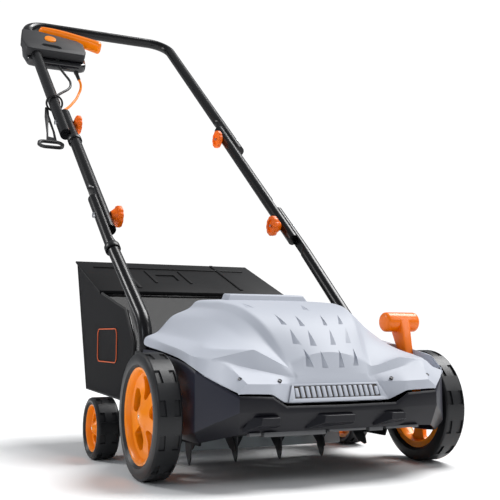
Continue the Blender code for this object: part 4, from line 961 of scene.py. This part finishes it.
lever_arm = blank("arm", [tuple(p) for p in outline], side_on, .2000, .2120,
                  lever_orange.material, .0016, 3)
for vert in lever_arm.data.vertices:
    rise = (vert.co.z - .118) / .11
    vert.co.x = .206 + SHIFT.x + (vert.co.x - .206 - SHIFT.x) * (1.0 + .75 * max(0.0, rise - .25))
lever_hub = lathe("hub", [(-.0060, .0053), (-.0060, .0115), (-.0050, .0120), (.0050, .0120),
                          (.0060, .0115), (.0060, .0053)], (.206, -.040, .118),
                  lever_orange.material, 32)
fixed(gathered("lever_t_grip", [lever_grip, lever_arm, lever_hub]), "front_axle",
      "orange_plastic", "height_lever")

# ------------------------------------------------------------------ handle tubes
# Gloss black powder-coated steel tube, its ends pressed to a half round where the
# lengths overlap and a bolt goes through.
gloss_paint = Shader("gloss_black_paint", (0.0040, 0.0040, 0.0048), 0.24, shine=0.32)
speck = gloss_paint.noise(30.0, 1.0)
gloss_paint.set(Roughness=speck * 0.06 + 0.24)


def capped(piece):
    """Sew a rolled grid shut along its length and close both its ends."""
    bpy.ops.object.mode_set(mode="EDIT")
    bpy.ops.mesh.select_all(action="SELECT")
    bpy.ops.mesh.remove_doubles(threshold=1e-6)
    bpy.ops.mesh.select_all(action="DESELECT")
    bpy.ops.mesh.select_non_manifold()
    bpy.ops.mesh.edge_face_add()
    bpy.ops.object.mode_set(mode="OBJECT")
    return outward(piece)


def pressed_tube(name, points, radius, presses, material, sides=28):
    """Tube swept along points; presses are (start, end, plane x, keep side) stretches."""
    bpy.ops.object.select_all(action="DESELECT")
    bpy.ops.mesh.primitive_grid_add(x_subdivisions=sides, y_subdivisions=len(points) - 1)
    piece = ready(name)
    side = None
    frames = []
    for i, place in enumerate(points):
        before, after = points[max(i - 1, 0)], points[min(i + 1, len(points) - 1)]
        heading = (after - before).normalized()
        side = Vector((1, 0, 0)) if side is None else side
        side = (side - heading * side.dot(heading)).normalized()
        frames.append((side.copy(), heading.cross(side)))
    across = sides + 1
    for j, vert in enumerate(piece.data.vertices):
        ring, k = divmod(j, across)
        first, second = frames[ring]
        angle = math.tau * (k % sides) / sides
        spot = points[ring] + radius * (math.cos(angle) * first + math.sin(angle) * second)
        along = (points[ring] - PIVOT).dot(ALONG)
        for low, high, plane, keep in presses:
            fade = min(1.0, (along - low) / .012 + 1.0, (high - along) / .012 + 1.0)
            if fade > 0.0 and spot.x * keep < plane * keep and points[ring].x * plane > 0:
                spot.x += (plane - spot.x) * min(1.0, fade)
        vert.co = spot + SHIFT
    capped(piece)
    piece.data.materials.append(material)
    smoothed(40)
    return piece


def arc(centre, radius, start, end, first, second, steps=20):
    return [centre + radius * (math.cos(a) * first + math.sin(a) * second)
            for a in (start + (end - start) * i / steps for i in range(steps + 1))]


def straight(start, end, spacing=.006):
    count = max(1, round((end - start).length / spacing))
    return [start.lerp(end, i / count) for i in range(count + 1)]


UPPER_X, UPPER_R = .221, .01425
MIDDLE_X, MIDDLE_R = .2056, .0130
LOWER_X, LOWER_FOOT_X, LOWER_R = .214, .207, .01175
BAR_S, BEND_R = .661, .060
PRESSED = .093      # how far past its bolt each end is pressed
FOOT_Y, FOOT_BEND_R = .1515, .065
ACROSS = Vector((1, 0, 0))
left_bend = arc(grip(-UPPER_X + BEND_R, BAR_S - BEND_R, 0), BEND_R, math.pi, math.pi / 2,
                ACROSS, ALONG)
right_bend = arc(grip(UPPER_X - BEND_R, BAR_S - BEND_R, 0), BEND_R, math.pi / 2, 0.0, ACROSS, ALONG)
path = (straight(grip(-UPPER_X, -.060, 0), left_bend[0])[:-1] + left_bend
        + straight(left_bend[-1], right_bend[0])[1:-1] + right_bend
        + straight(right_bend[-1], grip(UPPER_X, -.060, 0))[1:])
push_bar = pressed_tube("push_bar", path, UPPER_R,
                        [(-.2, PRESSED, .2137, 1), (-.2, PRESSED, -.2137, -1)],
                        gloss_paint.material)
fixed(push_bar, "upper_handle", "gloss_black_paint", "upper_handle")
for side, word in ((-1, "left"), (1, "right")):
    path = straight(grip(side * MIDDLE_X, LOWER_S - .055, 0), grip(side * MIDDLE_X, .055, 0))
    presses = [(-PRESSED, .3, side * .2134, -side),
               (-.8, LOWER_S + PRESSED, side * .2096, -side)]
    tube = pressed_tube("middle_length_" + word, path, MIDDLE_R, presses, gloss_paint.material)
    fixed(tube, "middle_handle", "gloss_black_paint", "middle_tube_" + word)
    meet_z = PIVOT.z - (PIVOT.y - FOOT_Y) * math.tan(SLOPE)
    reach = FOOT_BEND_R * math.tan((math.pi / 2 - SLOPE) / 2)
    bend_middle = Vector((side * LOWER_FOOT_X, FOOT_Y + FOOT_BEND_R, meet_z - reach))
    foot_bend = arc(bend_middle, FOOT_BEND_R, math.pi, math.pi / 2 + SLOPE, Vector((0, 1, 0)),
                    Vector((0, 0, 1)), 14)
    joint = grip(side * LOWER_X, LOWER_S - .105, 0)
    path = (straight(Vector((side * LOWER_FOOT_X, FOOT_Y, .107)), foot_bend[0])[:-1] + foot_bend
            + straight(foot_bend[-1], joint)[1:-1]
            + straight(joint, grip(side * LOWER_X, LOWER_S + .066, 0)))
    tube = pressed_tube("lower_length_" + word, path, LOWER_R,
                        [(LOWER_S - PRESSED, 1.0, side * .2100, side)], gloss_paint.material)
    fixed(tube, "chassis", "gloss_black_paint", "lower_tube_" + word)

# ------------------------------------------------------------------ clamp knobs and bolts
# Orange fluted hand knobs pull the pressed tubes together on zinc-plated bolts.
knob_orange = Shader("knob_orange", (0.95, 0.150, 0.0), 0.36, shine=0.35)
knob_orange.grain(420.0, 0.05, 0.0004)
for level, pivot, face_x in (("upper", PIVOT, .1766), ("lower", grip(0, LOWER_S, 0), .1704)):
    for side, word in ((-1, "left"), (1, "right")):
        lobes = []
        for i in range(80):
            wave = abs(math.cos(i * math.pi / 8))
            radius = .0205 + .0020 * wave ** .6
            lobes.append((pivot.y + radius * math.cos(math.tau * i / 80),
                          pivot.z + radius * math.sin(math.tau * i / 80)))
        rim = blank("rim", lobes, side_on, side * face_x, side * (face_x + .0105),
                    knob_orange.material, .0014, 2)
        dish = lathe("dish", [(side * .0030, .0002), (side * .0030, .0130), (side * -.0050, .0155),
                              (side * -.0050, .0002)], (side * face_x, pivot.y, pivot.z),
                     knob_orange.material, 32)
        carve(rim, [dish])
        neck = lathe("neck", [(side * (face_x + .0100), .0035), (side * (face_x + .0100), .0190),
                              (side * (face_x + .0125), .0175), (side * .1910, .0110),
                              (side * .1923, .0105), (side * .1923, .0035)],
                     (0.0, pivot.y, pivot.z), knob_orange.material, 32)
        knob = gathered("hand_knob_%s_%s" % (level, word), [rim, neck])
        smoothed(30)
        fixed(knob, "knob_%s_%s" % (level, word), "orange_plastic", "knob_%s_%s" % (level, word))
        refinish(bright_steel, "clamp_bolt_%s_%s" % (level, word))

# ------------------------------------------------------------------ switch box
# Two black shells clamp round the handle's left leg: a fine-grained upper one with an oval
# orange button, and a glossy lower one that the cables leave.
shell_grain = Shader("upper_shell_grain", (0.017, 0.017, 0.019), 0.55, shine=0.35)
shell_grain.grain(900.0, 0.25, 0.0005)
shell_gloss = Shader("lower_shell_gloss", (0.005, 0.005, 0.007), 0.16, 0.0, 0.25)
shell_gloss.grain(200.0, 0.02, 0.0004)


UPPER_SHELL = ((-.2560, .4900), (-.2500, .4270), (-.2340, .4240), (-.2100, .4240), (-.0900, .4220),
               (-.0800, .4520), (-.0780, .5120), (-.0930, .5300), (-.1500, .5520), (-.2030, .5700),
               (-.2440, .5700))
upper_shell = blank("upper_shell", UPPER_SHELL, grip, -.0038, .0200, shell_grain.material,
                    .0035, 3)
LOWER_SHELL = ((-.2500, .4700), (-.2440, .4160), (-.1960, .4040), (-.0960, .4040), (-.0820, .4160),
               (-.0770, .4600), (-.0800, .5120), (-.0960, .5260), (-.1500, .5470), (-.2030, .5640),
               (-.2420, .5560))
lower_shell = blank("lower_shell", LOWER_SHELL, grip, -.0300, -.0042, shell_gloss.material,
                    .0080, 4)
for shell in (upper_shell, lower_shell):      # the bore that the handle's leg goes through
    leg = wire("leg", [grip(-UPPER_X, .34, 0.0), grip(-UPPER_X, .66, 0.0)], UPPER_R + .0004,
               gloss_paint.material, 8)
    carve(shell, [outward(as_mesh(leg))])
    smoothed(30)


def button_oval(half_wide, half_long):
    """Outline round the button's place in the handle's plane."""
    return [(-.172 + half_wide * math.cos(math.tau * i / 40),
             .512 + half_long * math.sin(math.tau * i / 40)) for i in range(40)]


scoop = [(-.2060, .4560), (-.2010, .4480), (-.1530, .4440), (-.1480, .4500), (-.1500, .4620),
         (-.1600, .4680), (-.1980, .4720)]
carve(upper_shell, [blank("well", button_oval(.0172, .0212), grip, .010, .030,
                          shell_grain.material),
                    blank("scoop", scoop, grip, .0150, .0240, shell_gloss.material, .0030, 3)])
smoothed(30)
fixed(upper_shell, "upper_handle", "black_plastic", "switch_box_top")
fixed(lower_shell, "upper_handle", "gloss_black_paint", "switch_box_bottom")

button_orange = Shader("button_orange", (1.0, 0.27, 0.0), 0.34, shine=0.35)
button_orange.grain(420.0, 0.04, 0.0004)
button = blank("button_cap", button_oval(.0160, .0200), grip, .0132, .0230,
               button_orange.material, .0012, 3)
fixed(button, "button", "orange_plastic", "safety_button")

# ------------------------------------------------------------------ bail paddle
# One orange moulding, hinged in the switch box, that lies in front of the push bar.
bail_orange = Shader("bail_orange", (1.0, 0.225, 0.0), 0.30, 0.0, 0.1, 0.35)
bail_orange.grain(420.0, 0.04, 0.0004)
BAIL_HINGE = Vector((-.185, .594))      # across, up the handle
BAIL_LIFT = .0125
tilt = math.radians(-24.0)
heading = Vector((math.cos(tilt), math.sin(tilt)))
square = Vector((-math.sin(tilt), math.cos(tilt)))
stations = ((-.008, .0, .0085, .0120), (.018, .0, .0090, .0145), (.034, .0010, .0100, .0160),
            (.060, .0030, .0110, .0165), (.090, .0040, .0112, .0165), (.120, .0030, .0112, .0165),
            (.150, .0, .0120, .0170), (.168, -.0030, .0135, .0180), (.176, -.0050, .0135, .0175),
            (.180, -.0060, .0090, .0120))
bpy.ops.object.select_all(action="DESELECT")
bpy.ops.mesh.primitive_grid_add(x_subdivisions=24, y_subdivisions=len(stations) - 1)
bail = ready("bail_paddle")
for j, vert in enumerate(bail.data.vertices):
    ring, k = divmod(j, 25)
    reach, offset, half_wide, half_deep = stations[ring]
    angle = math.tau * (k % 24) / 24
    c, s = math.cos(angle), math.sin(angle)
    wide = half_wide * math.copysign(abs(c) ** .6, c)
    deep = half_deep * math.copysign(abs(s) ** .6, s)
    spot = BAIL_HINGE + heading * reach + square * (offset + wide)
    vert.co = grip(spot.x, spot.y, deep + BAIL_LIFT) + SHIFT
capped(bail)
rounder = bail.modifiers.new("rounder", "SUBSURF")
rounder.levels = rounder.render_levels = 1
apply_all(bail)
bail.data.materials.append(bail_orange.material)
smoothed(50)
fixed(bail, "bail", "orange_plastic", "bail_lever")

# ------------------------------------------------------------------ cable retainer and clips
# A black moulded plate with a slotted foot hangs from a ring round the leg and keeps the
# extension lead from pulling out; black clips hold the motor cable to the tubes.
RETAINER_LOW, RETAINER_HIGH = -.0160, -.0110       # faces of the plate, off the handle's plane


def stadium(x0, x1, s, radius):
    """Slot outline with round ends, in the handle's plane."""
    ends = ((x0 + radius, math.pi / 2), (x1 - radius, -math.pi / 2))
    turns = [(x, a + math.pi * i / 12) for x, a in ends for i in range(13)]
    return [(x + radius * math.cos(a), s + radius * math.sin(a)) for x, a in turns]


FOOT_S = -.0920
retainer = blank("cable_lock", [(-.2345, .1080), (-.2430, .1080), (-.2510, .0600), (-.2600, -.0300),
                                (-.2690, -.0880), (-.2440, -.0880), (-.2405, -.0300),
                                (-.2400, .0600)], grip, RETAINER_LOW, RETAINER_HIGH,
                 black_moulding.material)
foot = blank("foot", stadium(-.2900, -.2290, FOOT_S, .0165), grip, RETAINER_LOW - .0008,
             RETAINER_HIGH + .0008, black_moulding.material)
carve(retainer, [foot], "UNION")
carve(retainer, [blank("slot", stadium(-.2840, -.2350, FOOT_S, .0105), grip, -.03, .0,
                       black_moulding.material),
                 blank("window", [(-.2445, .0300), (-.2475, .0250), (-.2600, -.0560),
                                  (-.2470, -.0600), (-.2440, -.0200)], grip, -.03, .0,
                       black_moulding.material)])
ease(retainer, .0007, 2, 40)
smoothed(32)
ring_middle = grip(-UPPER_X, .112, 0)
ring_side = (ALONG * .45 + ABOVE * .89).normalized()
ring = wire("ring", arc(ring_middle, .0195, 0.0, math.tau, ACROSS, ring_side, 40)[:-1], .0026,
            black_moulding.material, 4, True)
fixed(gathered("cable_lock", [retainer, as_mesh(ring)]), "upper_handle", "black_plastic",
      "cable_retainer")


def tube_clip(name, middle, along, radius, body):
    """Ring round a tube."""
    ring = lathe("ring", [(-.0070, radius), (-.0070, radius + .0022), (-.0055, radius + .0030),
                          (.0055, radius + .0030), (.0070, radius + .0022), (.0070, radius)],
                 middle, black_moulding.material, 32, along)
    return fixed(ring, body, "black_plastic")


tube_clip("clip_upper", grip(-MIDDLE_X, -.088, 0), ALONG, MIDDLE_R + .0002, "middle_handle")
tube_clip("clip_lower", grip(-LOWER_X, -.540, 0), ALONG, LOWER_R + .0004, "chassis")

# ------------------------------------------------------------------ grass box
# A black woven mesh bag is stretched on a wire frame, bound at its edges, and hangs from
# a rigid moulded lid with a hand grip.
mesh_cloth = Shader("woven_mesh", (0.02, 0.02, 0.022), 0.80, shine=0.15)
THREADS = 3900.0      # radians in a metre, for threads 1.6 mm apart


def threads(axis):
    return (axis * THREADS).sine() * 0.5 + 0.5


x, y, z = mesh_cloth.axes()
across_weave = threads(x) * threads(z)
side_weave = threads(y) * threads(z)
cloud = mesh_cloth.noise(14.0, 3.0)
mesh_cloth.set(**{"Base Color": mesh_cloth.blend(cloud, (0.0065, 0.0065, 0.0075),
                                                 (0.0120, 0.0120, 0.0135))})
mesh_cloth.bump(across_weave + side_weave, 0.45, 0.0006)
# Painted light: the back panel's cloth is a lighter grey than the black mesh, standing in for
# studio light shining through the weave; its part transparency lets real light through as well.
painted_backlight_cloth = Shader("painted_backlight_mesh", (0.10, 0.105, 0.115), 0.75)
painted_backlight_cloth.set(Alpha=0.66)
x, y, z = painted_backlight_cloth.axes()
painted_backlight_cloth.bump(threads(x) * threads(z), 0.45, 0.0006)
binding_black = Shader("binding_tape", (0.009, 0.009, 0.010), 0.7)
binding_black.grain(900.0, 0.3, 0.0005)
lid_black = Shader("lid_black", (0.0025, 0.0025, 0.0032), 0.50, shine=0.14)
lid_black.grain(600.0, 0.12, 0.0004, 3.0)
patch_orange = Shader("patch_orange", (0.80, 0.13, 0.03), 0.6)
patch_orange.grain(900.0, 0.1, 0.0003)

BACK_FOOT, BACK_HEAD = (.545, .105), (.640, .374)      # y, z of the back panel's two ends
BAG_SIDE = (BACK_FOOT, BACK_HEAD, (.450, .302), (.279, .264), (.2300, .205), (.2300, .120),
            (.300, .098))
BAG_X = .205


def cloth_panel(name, low, high, rows, columns, bulge, painted_backlight=False):
    """Panel across the bag between two cross seams, drawn in or out a little between them."""
    bpy.ops.object.select_all(action="DESELECT")
    bpy.ops.mesh.primitive_grid_add(x_subdivisions=columns, y_subdivisions=rows)
    piece = ready(name)
    a, b = Vector((-BAG_X, *low)), Vector((BAG_X, *low))
    c, d = Vector((BAG_X, *high)), Vector((-BAG_X, *high))
    face = (b - a).cross(d - a).normalized()
    for j, vert in enumerate(piece.data.vertices):
        v, u = divmod(j, columns + 1)
        u, v = u / columns, v / rows
        spot = a.lerp(b, u).lerp(d.lerp(c, u), v)
        swell = math.sin(math.pi * u) * math.sin(math.pi * v)
        vert.co = spot + face * bulge * swell + SHIFT
    # A backlit panel takes the lighter cloth, which is painted light.
    piece.data.materials.append((painted_backlight_cloth if painted_backlight else mesh_cloth).material)
    thick = piece.modifiers.new("thick", "SOLIDIFY")
    thick.thickness = .0012
    thick.offset = 0.0
    apply_all(piece)
    outward(piece)
    smoothed(40)
    return piece


panels = []
for side in (-1, 1):
    panels.append(blank("side", BAG_SIDE, side_on, side * (BAG_X - .0006),
                        side * (BAG_X - .0022), mesh_cloth.material))
# The back panel gets the lighter cloth: painted light shining through it.
panels.append(cloth_panel("back", BACK_FOOT, BACK_HEAD, 12, 16, -.002, True))
panels.append(cloth_panel("bottom", (.300, .099), BACK_FOOT, 8, 12, .0))
panels.append(cloth_panel("bottom_front", (.231, .121), (.300, .099), 3, 12, .0))
bag = gathered("mesh_bag", panels)
fixed(bag, "grass_box", "mesh_fabric", "grass_bag")

bindings = []
for side in (-1, 1):
    edge = [Vector((side * (BAG_X - .001), y, z)) for y, z in BAG_SIDE]
    bindings.append(wire("edge", edge, .0022, binding_black.material, 3, True))
edge = [Vector((x, *BACK_FOOT)) for x in (-BAG_X + .001, BAG_X - .001)]
bindings.append(wire("edge", edge, .0022, binding_black.material, 3))
fixed(gathered("bag_bindings", [as_mesh(piece) for piece in bindings]), "grass_box",
      "mesh_fabric")

hoop = [(.4430, .2960), (.2790, .2590), (.2345, .2030), (.2345, .1270)]
reach = BAG_X - .0025 - .0038
hoop_points = ([Vector((-reach, y, z)) for y, z in hoop]
               + [Vector((reach, y, z)) for y, z in reversed(hoop)])
fixed(wire("bag_hoop", hoop_points, .0030, gloss_paint.material, 5, True), "grass_box",
      "black_plastic", "grass_box_frame")
LID_SLOPE = .3692      # rise over run


def lid_top(x, y, height):
    """Point above the lid's sloping top."""
    return Vector((x, y, .3062 + (y - .443) * LID_SLOPE + height))


LID = ((.4450, .3022), (.6460, .3766), (.6445, .3806), (.4430, .3062))
lid = blank("moulded_lid", LID, side_on, -.209, .209, lid_black.material, .0012, 3)
recess = blank("recess", [(-.052, .520), (-.008, .520), (-.008, .560), (-.052, .560)],
               lid_top, -.0026, .0060, lid_black.material)
carve(lid, [recess])
smoothed(30)
lip = blank("lip", [(-.209, .2985), (.209, .2985), (.209, .3060), (-.209, .3060)], front_on,
            .4405, .4445, lid_black.material, .0012, 3)
ribs = [lid, lip]
LID_RIBS = ((-.120, -.112, .462, .640), (.112, .120, .462, .640), (-.070, -.064, .500, .585),
            (.010, .016, .500, .585), (-.180, .180, .598, .604))
for x0, x1, y0, y1 in LID_RIBS:
    ribs.append(blank("rib", [(x0, y0), (x1, y0), (x1, y1), (x0, y1)], lid_top,
                      -.0010, .0022, lid_black.material, .0008))
fixed(gathered("moulded_lid", ribs), "grass_box", "black_plastic", "grass_box_lid")

badge = []
mid_y, mid_z, half_y, half_z, corner = .395, .196, .066, .032, .012
for i in range(48):
    angle = math.tau * i / 48
    cy, cz = math.cos(angle), math.sin(angle)
    badge.append(Vector((-BAG_X - .0004, mid_y + math.copysign(half_y - corner, cy) + corner * cy,
                         mid_z + math.copysign(half_z - corner, cz) + corner * cz)))
patch = wire("label_outline", badge, .0010, patch_orange.material, 2, True)
fixed(patch, "grass_box", "orange_plastic")
